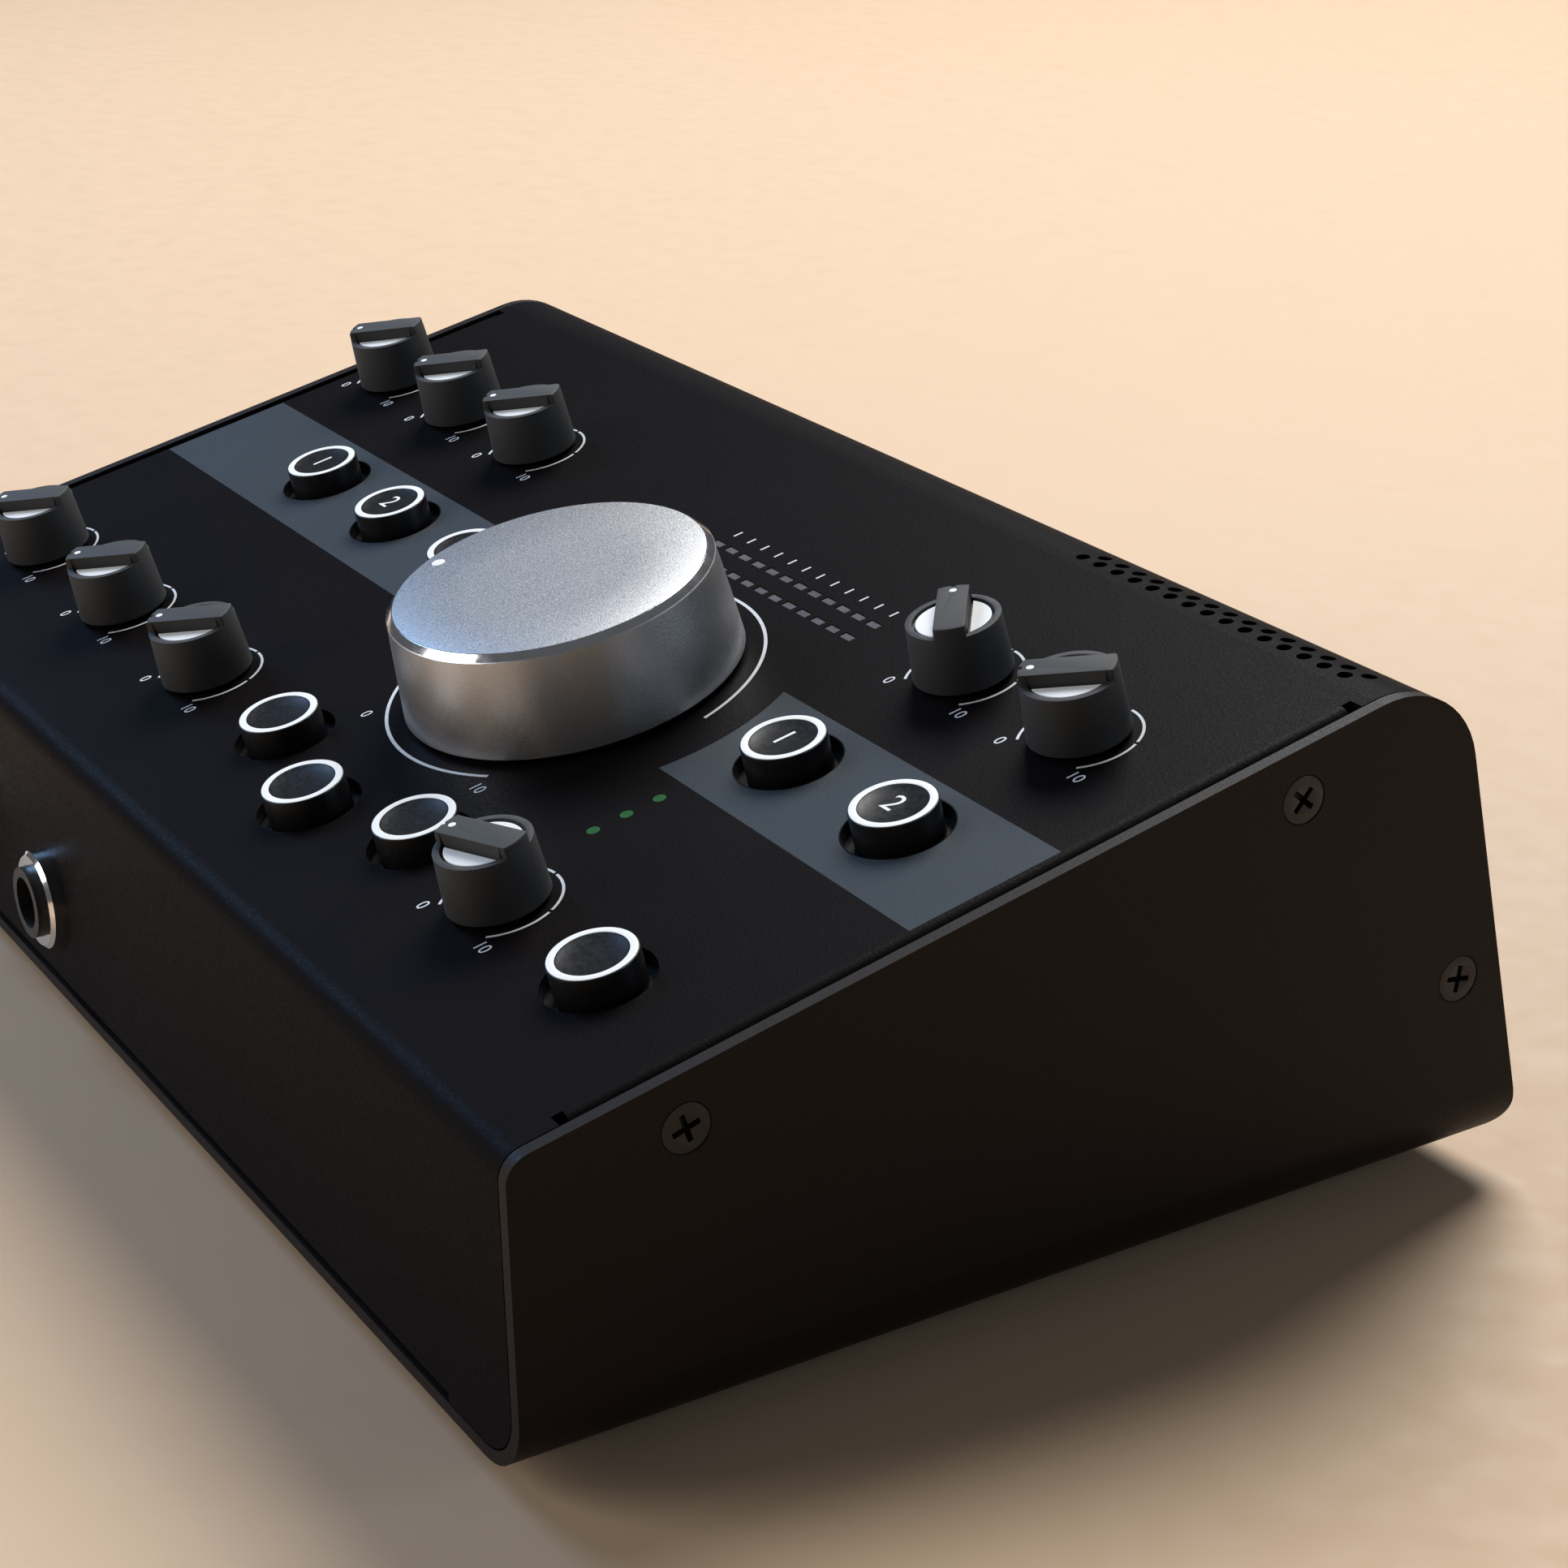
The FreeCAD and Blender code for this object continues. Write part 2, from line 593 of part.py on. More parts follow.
def make_cover():
    bends = [S["front_bend"], S["rear_bend"], heel]
    cover = side_prism("cover_sheet", DECK, as_size(0), rise, cover_half * 2, bends)
    core = side_prism("cover_core", None, wall, rise + wall, cover_half * 4, [bend - wall for bend in bends])
    hollow = cover.newObject("PartDesign::Boolean", "cover_hollow")
    hollow.Type = "Cut"
    hollow.setObjects([core])
    doc.recompute()

    sketch = new_sketch(cover, "YZ_Plane")
    lip = S["deck_length"] - heel - S["lip_length"]
    front_w = floor_front(wall, rise + wall * 2)
    back_w = floor_front(wall, as_size(0))
    polygon(sketch, [back_w, (lip, floor_line(as_size(0), lip)),
                     (lip, floor_line(rise + wall * 2, lip)), front_w])
    feature(cover, "Pocket", sketch, cover_half * 4)

    for side in (1, -1):
        sketch = new_sketch(cover, "YZ_Plane", (cover_half - wall / 2) * side)
        for loop in flange_outlines():
            polygon(sketch, loop)
        feature(cover, "Pad", sketch, wall)

    # Relief slots at the ends of the side flanges
    reach = S["side_bend"] * 2
    slots = new_sketch(cover, "XY_Plane")
    for side in (1, -1):
        for u in (S["flange_front"] - S["relief"] / 2, S["flange_rear"] + S["relief"] / 2):
            box_outline(slots, cover_half * side, u, reach, S["relief"])
    feature(cover, "Pocket", slots, through)
    slots = new_sketch(cover, "XZ_Plane", -S["deck_length"])
    for side in (1, -1):
        for depth in (S["rear_flange_top"] - S["relief"] / 2, S["rear_flange_low"] + S["relief"] / 2):
            box_outline(slots, cover_half * side, -depth, reach, S["relief"])
    feature(cover, "Pocket", slots, wall * 4)
    doc.recompute()
    dress(cover, "Fillet", edges_where(cover.Tip.Shape, cover_bend), S["side_bend"])

    cut_deck_holes(cover)
    cut_rear_holes(cover)
    cut_front(cover)

    screws = new_sketch(cover, "YZ_Plane")
    for u, w in deck_screws:
        circle(screws, u, w, S["screw_radius"] + S["fit_gap"])
    feature(cover, "Pocket", screws, cover_half * 4)

    # The cover's lower corners follow the tray's bends
    inside = new_body("tray_inside")
    sketch = new_sketch(inside, "XZ_Plane")
    low = S["foot_height"] + rise
    corners = [(-cover_half, low), (cover_half, low), (cover_half, low * 20), (-cover_half, low * 20)]
    polygon(sketch, corners)
    feature(inside, "Pad", sketch, S["deck_length"] * 2)
    doc.recompute()
    round_bottom(inside, cover_half, low, S["tray_bend"] - rise)
    common("top_cover", [cover, inside])


def cut_deck_holes(cover):
    holes = new_sketch(cover, "XY_Plane")
    for x, u in button_places.values():
        circle(holes, x, u, S["button_hole"])
    for x, u, angle in knob_places.values():
        circle(holes, x, u, S["bushing_radius"] + S["hole_clearance"])
    circle(holes, *volume_place, S["bushing_radius"] + S["hole_clearance"])
    for x, u in lamp_places:
        circle(holes, x, u, S["lamp_radius"] + S["fit_gap"])
    feature(cover, "Pocket", holes, wall * 4)
    windows = new_sketch(cover, "XY_Plane")
    for row in range(2):
        u = S["meter_row"] + S["meter_spacing"] * row
        box_outline(windows, S["meter_column"], u, S["meter_length"], S["meter_width"])
    repeat(cover, feature(cover, "Pocket", windows, wall * 4), S["meter_pitch"], METER_LAMPS)
    vents = new_sketch(cover, "XY_Plane")
    for row in range(2):
        x = S["vent_column"] - S["vent_pitch"] * (VENTS_PER_ROW - 1) - S["vent_pitch"] / 2 * (1 - row)
        circle(vents, x, S["vent_row"] + S["vent_spacing"] * row, S["vent_radius"])
    repeat(cover, feature(cover, "Pocket", vents, through), S["vent_pitch"], VENTS_PER_ROW)


def cut_rear_holes(cover):
    holes = new_sketch(cover, "XZ_Plane", -S["deck_length"])
    for x in line_columns:
        circle(holes, x, -S["line_row"], S["socket_nose"] + S["hole_clearance"])
    for x in combo_columns:
        circle(holes, x, -S["combo_row"], S["combo_radius"] + S["hole_clearance"])
    box_outline(holes, S["data_column"], -low_row, S["data_width"] + S["hole_clearance"] * 2,
                S["data_height"] + S["hole_clearance"] * 2)
    circle(holes, S["inlet_column"], -low_row, S["inlet_radius"] + S["hole_clearance"])
    circle(holes, S["power_column"], -low_row, S["push_radius"] + S["hole_clearance"])
    circle(holes, S["phantom_column"], -S["phantom_row"], S["push_radius"] + S["hole_clearance"])
    feature(cover, "Pocket", holes, wall * 4)


def cut_front(cover):
    """Phone socket holes and the raised lower edge."""
    holes = new_sketch(cover, "XZ_Plane", 0, -slope.value)
    drop = S["phones_jack_height"] - S["front_height"]
    for x in phone_columns:
        circle(holes, x, drop, S["socket_nose"] + S["hole_clearance"])
    low = rise - S["front_height"]
    box_outline(holes, as_size(0), low, (half_width - S["front_relief_margin"]) * 2, S["front_relief"] * 2)
    feature(cover, "Pocket", holes, wall * 4)


# Feet and side screws

def make_foot():
    r, edge = S["foot_radius"], S["foot_height"] / 5
    base = turned("foot_pattern", None, [(0, 0), (r - edge, 0), (r, edge), (r, S["foot_height"]),
                                         (0, S["foot_height"])])
    return base


def make_side_screw():
    """Countersunk screw, its Z axis pointing out of the end panel."""
    head, shank = S["head_radius"], S["screw_radius"]
    return turned("side_screw_pattern", None,
                  [(0, -S["screw_length"]), (shank, -S["screw_length"]), (shank, shank - head), (head, 0), (0, 0)])


def side_screw_places():
    for side in (1, -1):
        for u, w in deck_screws:
            y, z = world_yz(u, w)
            turn = FreeCAD.Rotation(FreeCAD.Vector(0, 1, 0), 90 * side)
            yield FreeCAD.Placement(vector((half_width - S["fit_gap"]) * side, y, z), turn)


# Volume control

def make_volume_knob():
    """Turned aluminium knob with a bright bevel, hollow below, with a shaft hub."""
    base, top, high = S["volume_base"], S["volume_top"], S["volume_height"]
    gap, rim, bore = S["knob_gap"], S["volume_rim"], S["shaft_radius"] + S["fit_gap"] / 2
    inner, crown, hub = base - 3, high - 4, S["shaft_radius"] + 3
    body = turned("volume_knob", on_deck(*volume_place),
                  [(bore, gap + 1), (hub, gap + 1), (hub, crown), (inner, crown), (inner, gap), (base, gap),
                   (top + 0.05, high - rim), (top - rim, high), (0, high), (0, high - 2), (bore, high - 2)])
    sketch = new_sketch(body, "XY_Plane", high)
    circle(sketch, top - 2.6, as_size(0), as_size(0.85))
    feature(body, "Pocket", sketch, as_size(0.4))
    body.Placement = on_deck(*volume_place, 0, S["volume_angle"].value)
    return body


def shaft(label, x, u, tip, turn):
    """Control shaft from its pot up into the knob."""
    r = S["shaft_radius"]
    place = on_deck(x, u, 0, turn)
    return turned(label, place, [(0, -S["board_depth"] + 2), (r, -S["board_depth"] + 2), (r, tip), (0, tip)])


def make_pot(label, place, width, length, height):
    """Pot housing with a threaded bushing that the shaft turns in."""
    body = new_body(label, place)
    sketch = new_sketch(body, "XY_Plane", -S["board_depth"])
    box_outline(sketch, as_size(0), as_size(0), width, length)
    feature(body, "Pad", sketch, height, "One side")
    sketch = new_sketch(body, "XY_Plane", -S["board_depth"])
    circle(sketch, as_size(0), as_size(0), S["bushing_radius"])
    feature(body, "Pad", sketch, S["board_depth"] - S["knob_gap"] / 2, "One side")
    sketch = new_sketch(body, "XY_Plane")
    circle(sketch, as_size(0), as_size(0), S["shaft_radius"] + S["fit_gap"])
    feature(body, "Pocket", sketch, (S["board_depth"] - 1.7) * 2)
    return body


# Small knobs

def segment(sketch, chord, radius, side):
    """Part of a disc beyond a chord, on one side of the bar."""
    half = root(radius * radius - chord * chord)
    angle = math.degrees(math.atan2(chord.value, half.value))
    start, end = (angle, 180 - angle) if side > 0 else (180 + angle, 360 - angle)
    arc = sketch.addGeometry(Part.ArcOfCircle(Part.Circle(vector(0, 0, 0), Z_AXIS, radius.value),
                                              math.radians(start), math.radians(end)))
    line = sketch.addGeometry(Part.LineSegment(vector(half * -side, chord * side, 0),
                                               vector(half * side, chord * side, 0)))
    tie("Coincident", arc, 2, line, 1)
    tie("Coincident", line, 2, arc, 1)
    tie("Coincident", arc, 3, -1, 1)
    tie("Horizontal", line)
    datum("DistanceY", (-1, 1, line, 1), chord * side)
    datum("Radius", (arc,), radius)


def make_small_knob(label, x, u, angle):
    """Tapered knob with a bar across its top and a recess in each shoulder."""
    base, top, high, gap = S["knob_base"], S["knob_top"], S["knob_height"], S["knob_gap"]
    bore, roof = S["shaft_radius"] + S["fit_gap"] / 2, high - S["grip_rise"] - 1.5
    edge = 0.3
    body = turned(label, on_deck(x, u, 0, angle),
                  [(bore, gap), (base, gap), (top, high - edge), (top - edge, high), (0, high), (0, roof), (bore, roof)])
    for radius, depth in ((base * 1.2, S["grip_rise"]), (top - S["knob_rim"], S["grip_rise"] + S["recess_depth"])):
        sketch = new_sketch(body, "XY_Plane", high)
        for side in (1, -1):
            segment(sketch, S["grip_width"] / 2, radius, side)
        feature(body, "Pocket", sketch, depth * 2)
    return body


# Buttons and key switches

flange_top = -(wall + S["panel_gap"])
stem_tip = -S["board_depth"] + S["switch_height"] - 1.5


def make_button(label, x, u):
    """Cap through the deck, a flange under it and a stem into its switch."""
    r, rise_up, edge = S["button_radius"], S["button_rise"], S["button_edge"]
    flange, stem = S["button_hole"] + S["button_flange"], S["stem_radius"]
    low = flange_top - 1
    return turned(label, on_deck(x, u),
                  [(0, stem_tip), (stem, stem_tip), (stem, low), (flange, low), (flange, flange_top),
                   (r, flange_top), (r, rise_up - edge), (r - edge, rise_up), (0, rise_up)])


def make_switch():
    """Square key switch with a well for the button's stem."""
    base = -S["board_depth"]
    body = new_body("switch_pattern")
    sketch = new_sketch(body, "XY_Plane", base)
    box_outline(sketch, as_size(0), as_size(0), S["switch_side"], S["switch_side"])
    feature(body, "Pad", sketch, S["switch_height"], "One side")
    top = base + S["switch_height"]
    sketch = new_sketch(body, "XY_Plane", top)
    circle(sketch, as_size(0), as_size(0), S["stem_radius"] + S["fit_gap"])
    feature(body, "Pocket", sketch, (S["button_travel"] + 1.8) * 2)
    return body


# Lamps: each stands on the control board and ends flush in the deck

def make_lamp():
    r, base = S["lamp_radius"], -S["board_depth"]
    return turned("lamp_pattern", None, [(0, base), (r * 2, base), (r * 2, base + 1.5), (r, base + 1.5), (r, 0), (0, 0)])


def make_meter_lamp():
    body = new_body("meter_pattern")
    sketch = new_sketch(body, "XY_Plane", -S["board_depth"])
    slack = S["fit_gap"] * 2
    box_outline(sketch, as_size(0), as_size(0), S["meter_length"] - slack, S["meter_width"] - slack)
    feature(body, "Pad", sketch, S["board_depth"] - 0.1, "One side")
    return body


# Sockets, each turned or padded about a Z axis that points out of the panel

def make_phone_socket():
    """Quarter inch socket: a housing behind the panel and a nose through it."""
    wide, long = S["socket_width"], S["socket_length"]
    body = new_body("socket_pattern")
    back = -(long + wall)
    sketch = new_sketch(body, "XY_Plane", back)
    box_outline(sketch, as_size(0), as_size(0), wide, wide)
    feature(body, "Pad", sketch, long, "One side")
    sketch = new_sketch(body, "XY_Plane", back)
    circle(sketch, as_size(0), as_size(0), S["socket_nose"])
    feature(body, "Pad", sketch, long + wall + S["nose_reach"], "One side")
    sketch = new_sketch(body, "XY_Plane", S["nose_reach"])
    circle(sketch, as_size(0), as_size(0), S["socket_bore"])
    feature(body, "Pocket", sketch, S["socket_depth"] * 2)
    return body


def make_nut():
    """Round nut with a bevelled front that holds a socket to the panel."""
    inner, r, thick = S["socket_nose"] + S["fit_gap"], S["nut_radius"], S["nut_thickness"]
    bevel = thick / 4
    return turned("nut_pattern", None, [(inner, 0), (r, 0), (r, thick - bevel), (r - bevel, thick), (inner, thick)])


def make_combo():
    """Round input socket with a square face on the panel and three pins' well."""
    body = new_body("combo_pattern")
    face, r = S["combo_face"], S["combo_radius"]
    sketch = new_sketch(body, "XY_Plane")
    box_outline(sketch, as_size(0), as_size(0), S["combo_flange"] * 2, S["combo_flange"] * 2)
    feature(body, "Pad", sketch, face, "One side")
    doc.recompute()

    def upright(edge):
        return abs(edge.BoundBox.ZLength - face.value) < 1e-4
    dress(body, "Fillet", edges_where(body.Tip.Shape, upright), S["combo_flange"] / 5)
    back = -S["combo_length"]
    sketch = new_sketch(body, "XY_Plane", back)
    circle(sketch, as_size(0), as_size(0), r)
    feature(body, "Pad", sketch, S["combo_length"] + face / 2, "One side")
    sketch = new_sketch(body, "XY_Plane", face)
    circle(sketch, as_size(0), as_size(0), S["combo_bore"])
    feature(body, "Pocket", sketch, S["combo_depth"] * 2)
    return body


def make_data_port():
    """Square data socket with an open mouth."""
    body = new_body("data_port", out_of_rear(S["data_column"], low_row))
    back = -(S["data_depth"] + 5)
    sketch = new_sketch(body, "XY_Plane", back)
    box_outline(sketch, as_size(0), as_size(0), S["data_width"], S["data_height"])
    feature(body, "Pad", sketch, S["data_depth"] + 5.4, "One side")
    sketch = new_sketch(body, "XY_Plane", 0.4)
    box_outline(sketch, as_size(0), as_size(0), S["data_mouth_width"], S["data_mouth_height"])
    feature(body, "Pocket", sketch, S["data_depth"] * 2)
    return body


def make_inlet():
    """Power inlet with its centre pin."""
    pin_r, bore, r = S["inlet_pin"], S["inlet_bore"], S["inlet_radius"]
    back = -(S["socket_depth"] + 1)
    return turned("power_inlet", out_of_rear(S["inlet_column"], low_row),
                  [(0, back), (r * 1.2, back), (r * 1.2, -wall), (r, -wall), (r, 0.6), (bore, 0.6),
                   (bore, -9), (pin_r, -9), (pin_r, -0.4), (0, -0.4)])


# Rear push buttons

collar = 0.8
rod_tip = -9.0


def make_push(label, x, depth):
    """Button through the rear face, a collar behind it and a rod into its switch."""
    r, reach, edge = S["push_radius"], S["push_reach"], S["push_edge"]
    shoulder = -(wall + S["fit_gap"] * 2)
    return turned(label, out_of_rear(x, depth),
                  [(0, rod_tip), (r / 2, rod_tip), (r / 2, shoulder - collar), (r + collar, shoulder - collar),
                   (r + collar, shoulder), (r, shoulder), (r, reach - edge), (r - edge, reach), (0, reach)])


def make_push_switch():
    """Switch housing with a well for the button's rod."""
    back = S["board_rear"] - S["deck_length"]
    front = -(wall + collar + S["push_travel"] + 1.2)
    body = new_body("push_switch_pattern")
    sketch = new_sketch(body, "XY_Plane", back)
    box_outline(sketch, as_size(0), as_size(0), S["data_height"], S["data_height"])
    feature(body, "Pad", sketch, front - back, "One side")
    sketch = new_sketch(body, "XY_Plane", front)
    circle(sketch, as_size(0), as_size(0), S["push_radius"] / 2 + S["fit_gap"])
    feature(body, "Pocket", sketch, (front - rod_tip + S["push_travel"] + 0.4) * 2)
    return body


# Boards and posts

post_rows = [(S["post_column"] * side, u) for side in (-1, 0, 1) for u in (S["post_front"], S["post_rear"])]


def make_board(label, x, wide, front, rear, top, holes=()):
    body = new_body(label, DECK)
    sketch = new_sketch(body, "XY_Plane", top - S["board_thickness"])
    box_outline(sketch, x, (front + rear) / 2, wide, rear - front)
    for place in holes:
        circle(sketch, *place, S["screw_radius"] + S["hole_clearance"])
    feature(body, "Pad", sketch, S["board_thickness"], "One side")
    return body


def make_post():
    """Post from the underside of the deck to the control board."""
    r, thread = S["post_radius"], S["screw_radius"] + S["fit_gap"]
    return turned("post_pattern", None,
                  [(thread, -S["board_depth"]), (r, -S["board_depth"]), (r, -wall), (thread, -wall)])


def make_board_screw():
    """Pan head screw through the control board into a post."""
    low = -(S["board_depth"] + S["board_thickness"])
    shank, head = S["screw_radius"], S["screw_radius"] * 1.8
    return turned("board_screw_pattern", None,
                  [(0, low - 1.8), (head * 0.8, low - 1.8), (head, low - 1.2), (head, low), (shank, low),
                   (shank, low + 6), (0, low + 6)])


def floor_posts():
    """Posts from the tray up to the connector board, cut level at the bottom."""
    top = rear_board_depth + S["board_thickness"]
    u = S["rear_board_front"] + S["post_radius"] * 1.2
    corner = vector(-half_width, -S["deck_length"], -S["front_height"])
    floor = Part.makeBox(S["body_width"].value, S["deck_length"].value * 2,
                         (S["front_height"] + S["foot_height"] + wall).value, corner)
    length = -floor_line(as_size(0), u) - top
    for x in (S["data_column"] + 20, S["power_column"] - 10):
        post = Part.makeCylinder(S["post_radius"].value, length.value)
        yield placed(post, on_deck(x, u, -top - length)).cut(floor)


# Build the pieces

make_tray()
make_cover()

foot = make_foot()
side_screw = make_side_screw()
small_pot = make_pot("pot_pattern", None, S["pot_side"], S["pot_side"], S["pot_height"])
switch = make_switch()
lamp = make_lamp()
meter_lamp = make_meter_lamp()
socket = make_phone_socket()
nut = make_nut()
combo = make_combo()
push_switch = make_push_switch()
post = make_post()
board_screw = make_board_screw()

make_volume_knob()
shaft("volume_shaft", *volume_place, S["volume_height"] - 2.3, S["volume_angle"].value)
make_pot("volume_pot", on_deck(*volume_place), S["volume_pot_side"], S["volume_pot_side"], S["volume_pot_height"])
shaft_tip = S["knob_height"] - S["grip_rise"] - 1.7
for label, (x, u, angle) in knob_places.items():
    make_small_knob(label, x, u, angle)
    shaft(label.replace("knob", "shaft"), x, u, shaft_tip, angle)
for label, (x, u) in button_places.items():
    make_button(label, x, u)
inner_width = (cover_half - S["board_margin"]) * 2
make_board("control_board", as_size(0), inner_width, S["board_front"], S["board_rear"], -S["board_depth"],
           post_rows)
board_left = S["data_column"] - S["data_width"]
board_right = S["power_column"] + S["data_height"] * 0.7
make_board("connector_board", (board_left + board_right) / 2, board_right - board_left,
           S["rear_board_front"], S["deck_length"] - wall - 0.5, -rear_board_depth)
make_data_port()
make_inlet()
make_push("power_button", S["power_column"], low_row)
make_push("phantom_button", S["phantom_column"], S["phantom_row"])
doc.recompute()

line_places = [out_of_rear(x, S["line_row"]) for x in line_columns]
phone_places = [out_of_front(x, S["phones_jack_height"]) for x in phone_columns]
combo_places = [out_of_rear(x, S["combo_row"]) for x in combo_columns]
push_places = [out_of_rear(S["power_column"], low_row), out_of_rear(S["phantom_column"], S["phantom_row"])]
post_places = [on_deck(x, u) for x, u in post_rows]
foot_places = [FreeCAD.Placement(vector((half_width - S["foot_inset"]) * side, front_y + y, 0), FreeCAD.Rotation())
               for side in (-1, 1) for y in (S["foot_front"], S["foot_rear"])]


def row_of(label, pattern, places):
    group(label, [placed(pattern.Shape, place) for place in places])


row_of("side_screws", side_screw, side_screw_places())
row_of("rubber_feet", foot, foot_places)
row_of("pots", small_pot, [on_deck(x, u) for x, u, angle in knob_places.values()])
row_of("key_switches", switch, [on_deck(x, u) for x, u in button_places.values()])
row_of("status_lamps", lamp, [on_deck(x, u) for x, u in lamp_places])
row_of("meter_lamps", meter_lamp, [on_deck(x, u) for x, u in meter_places])
row_of("socket_nuts", nut, line_places + phone_places)
row_of("push_switches", push_switch, push_places)
row_of("board_posts", post, post_places)
row_of("board_screws", board_screw, post_places)
group("connector_posts", list(floor_posts()))
for number, place in enumerate(line_places, start=1):
    row_of("line_socket_%d" % number, socket, [place])
for number, place in enumerate(phone_places, start=1):
    row_of("phones_socket_%d" % number, socket, [place])
for number, place in enumerate(combo_places, start=1):
    row_of("input_socket_%d" % number, combo, [place])

nodes = (["chassis_tray", "top_cover", "side_screws", "rubber_feet", "control_board", "connector_board",
          "board_posts", "board_screws", "connector_posts", "pots", "key_switches", "status_lamps",
          "meter_lamps", "socket_nuts", "push_switches", "data_port", "power_inlet", "power_button",
          "phantom_button", "volume_knob", "volume_shaft", "volume_pot"]
         + list(knob_places) + [label.replace("knob", "shaft") for label in knob_places] + list(button_places)
         + ["line_socket_%d" % (i + 1) for i in range(LINE_SOCKETS)]
         + ["phones_socket_1", "phones_socket_2", "input_socket_1", "input_socket_2"])

# Check every feature and write one file for each piece
doc.recompute()
for item in doc.Objects:
    if "Invalid" in item.State or "Error" in item.State:
        raise RuntimeError("%s did not build: %s" % (item.Label, item.State))
os.makedirs("parts", exist_ok=True)
for label in nodes:
    shape = doc.getObjectsByLabel(label)[0].Shape
    if shape.isNull() or not shape.isValid():
        raise RuntimeError("%s has no valid shape" % label)
    shape.exportStep("parts/%s.step" % label)
print("pieces written:", len(nodes))
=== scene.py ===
import json
import math

import bpy
from bpy.props import FloatProperty, FloatVectorProperty, PointerProperty
from mathutils import Matrix, Vector


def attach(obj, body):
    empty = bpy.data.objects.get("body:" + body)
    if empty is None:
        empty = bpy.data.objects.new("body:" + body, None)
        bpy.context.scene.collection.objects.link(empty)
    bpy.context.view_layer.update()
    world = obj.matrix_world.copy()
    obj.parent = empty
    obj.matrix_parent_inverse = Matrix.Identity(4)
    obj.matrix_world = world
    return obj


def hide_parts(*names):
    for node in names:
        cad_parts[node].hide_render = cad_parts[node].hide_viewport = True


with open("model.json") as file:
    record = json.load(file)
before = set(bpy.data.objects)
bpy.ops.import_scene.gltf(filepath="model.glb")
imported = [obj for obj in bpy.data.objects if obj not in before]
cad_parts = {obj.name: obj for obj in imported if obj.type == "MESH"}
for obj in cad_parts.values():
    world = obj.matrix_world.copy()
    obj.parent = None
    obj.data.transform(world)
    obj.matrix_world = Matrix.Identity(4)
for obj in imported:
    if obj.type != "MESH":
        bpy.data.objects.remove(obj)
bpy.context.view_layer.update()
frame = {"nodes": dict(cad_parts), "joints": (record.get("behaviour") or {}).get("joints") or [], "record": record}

bl_info = {
    "name": "Monitor Controller",
    "version": (1, 0, 0),
    "blender": (4, 5, 0),
    "location": "View3D > Sidebar > Controller",
    "description": "Dresses a desktop monitor controller and sets its stage",
    "category": "Object",
}

MM = 0.001
JOINTS = {joint["name"]: joint for joint in frame["joints"]}
CAD_MESHES = {name: node.data for name, node in frame["nodes"].items()}

# The deck's own directions, from the axis that the volume knob turns on
ACROSS = Vector((1, 0, 0))
NORMAL = Vector(JOINTS["volume_turn"]["axis"])
UPHILL = NORMAL.cross(ACROSS)
VOLUME_AT = Vector(JOINTS["volume_turn"]["pos_m"])

SMALL_KNOBS = ("talkback", "trim_a", "trim_b", "phones_mix", "phones_1", "phones_2",
               "input_1", "input_2", "input_3")
BUTTON_MARKS = {"cue": "", "dim": "", "mute": "", "mono": "", "monitor_a": "1", "monitor_b": "2",
                "source_1": "1", "source_2": "2", "source_3": "3"}


def length(label, words, value):
    return FloatProperty(name=label, description=words, default=value * MM, unit="LENGTH", precision=5)


def angle(label, words, value):
    return FloatProperty(name=label, description=words, default=math.radians(value), subtype="ANGLE")


def colour(label, words, value):
    return FloatVectorProperty(name=label, description=words, default=value, subtype="COLOR", min=0, max=1)


class KnobSizes(bpy.types.PropertyGroup):
    """Sizes of the knobs and of what is printed round them."""
    volume_base: length("Volume base", "Radius of the volume knob at its base", 20.3)
    volume_top: length("Volume top", "Radius of the volume knob at its top", 19.2)
    volume_height: length("Volume height", "Top of the volume knob above the deck", 13.2)
    volume_bevel: length("Volume bevel", "Polished bevel round the volume knob", 0.7)
    skirt_gap: length("Skirt gap", "Lower edge of every knob above the deck", 0.5)
    volume_dot: length("Volume dot", "Radius of the white dot", 0.8)
    small_base: length("Small base", "Radius of a small knob at its base", 5.7)
    small_top: length("Small top", "Radius of a small knob at its top", 5.3)
    small_height: length("Small height", "Top of a small knob above the deck", 8.5)
    grip_width: length("Grip width", "Bar across the top of a small knob", 3.5)
    grip_rise: length("Grip rise", "Bar above the shoulders", 1.3)
    recess: length("Recess", "Hollow in each shoulder", 0.5)
    recess_reach: length("Recess reach", "Radius of that hollow", 4.6)
    volume_start: angle("Volume start", "Angle of the volume knob's dot at its lower stop", 235.6)
    sweep_start: angle("Sweep start", "Angle at which a small knob's scale starts", 225)
    sweep: angle("Sweep", "Turn of a small knob", 265)


class ButtonSizes(bpy.types.PropertyGroup):
    """Sizes of the push buttons."""
    radius: length("Cap radius", "Round cap", 4.8)
    rise: length("Rise", "Top of the cap above the deck", 2.9)
    edge: length("Edge", "Rounded edge of the cap", 0.2)
    flange: length("Flange radius", "Flange under the deck", 6.95)
    flange_top: length("Flange top", "Flange below the deck", 1.7)
    flange_depth: length("Flange depth", "Thickness of the flange", 1.0)
    ring_inner: length("Ring inside", "Inner radius of the translucent ring", 3.82)
    ring_outer: length("Ring outside", "Outer radius of the translucent ring", 4.75)
    ring_depth: length("Ring depth", "Depth to which the ring is let into the cap", 0.3)
    stem: length("Stem", "Radius of the stem", 1.6)
    stem_reach: length("Stem reach", "Foot of the stem below the deck", 9.4)
    dish: length("Dish", "Face inside the ring below the cap's top", 0.06)
    hole: length("Hole", "Radius of the hole in the deck", 6.05)


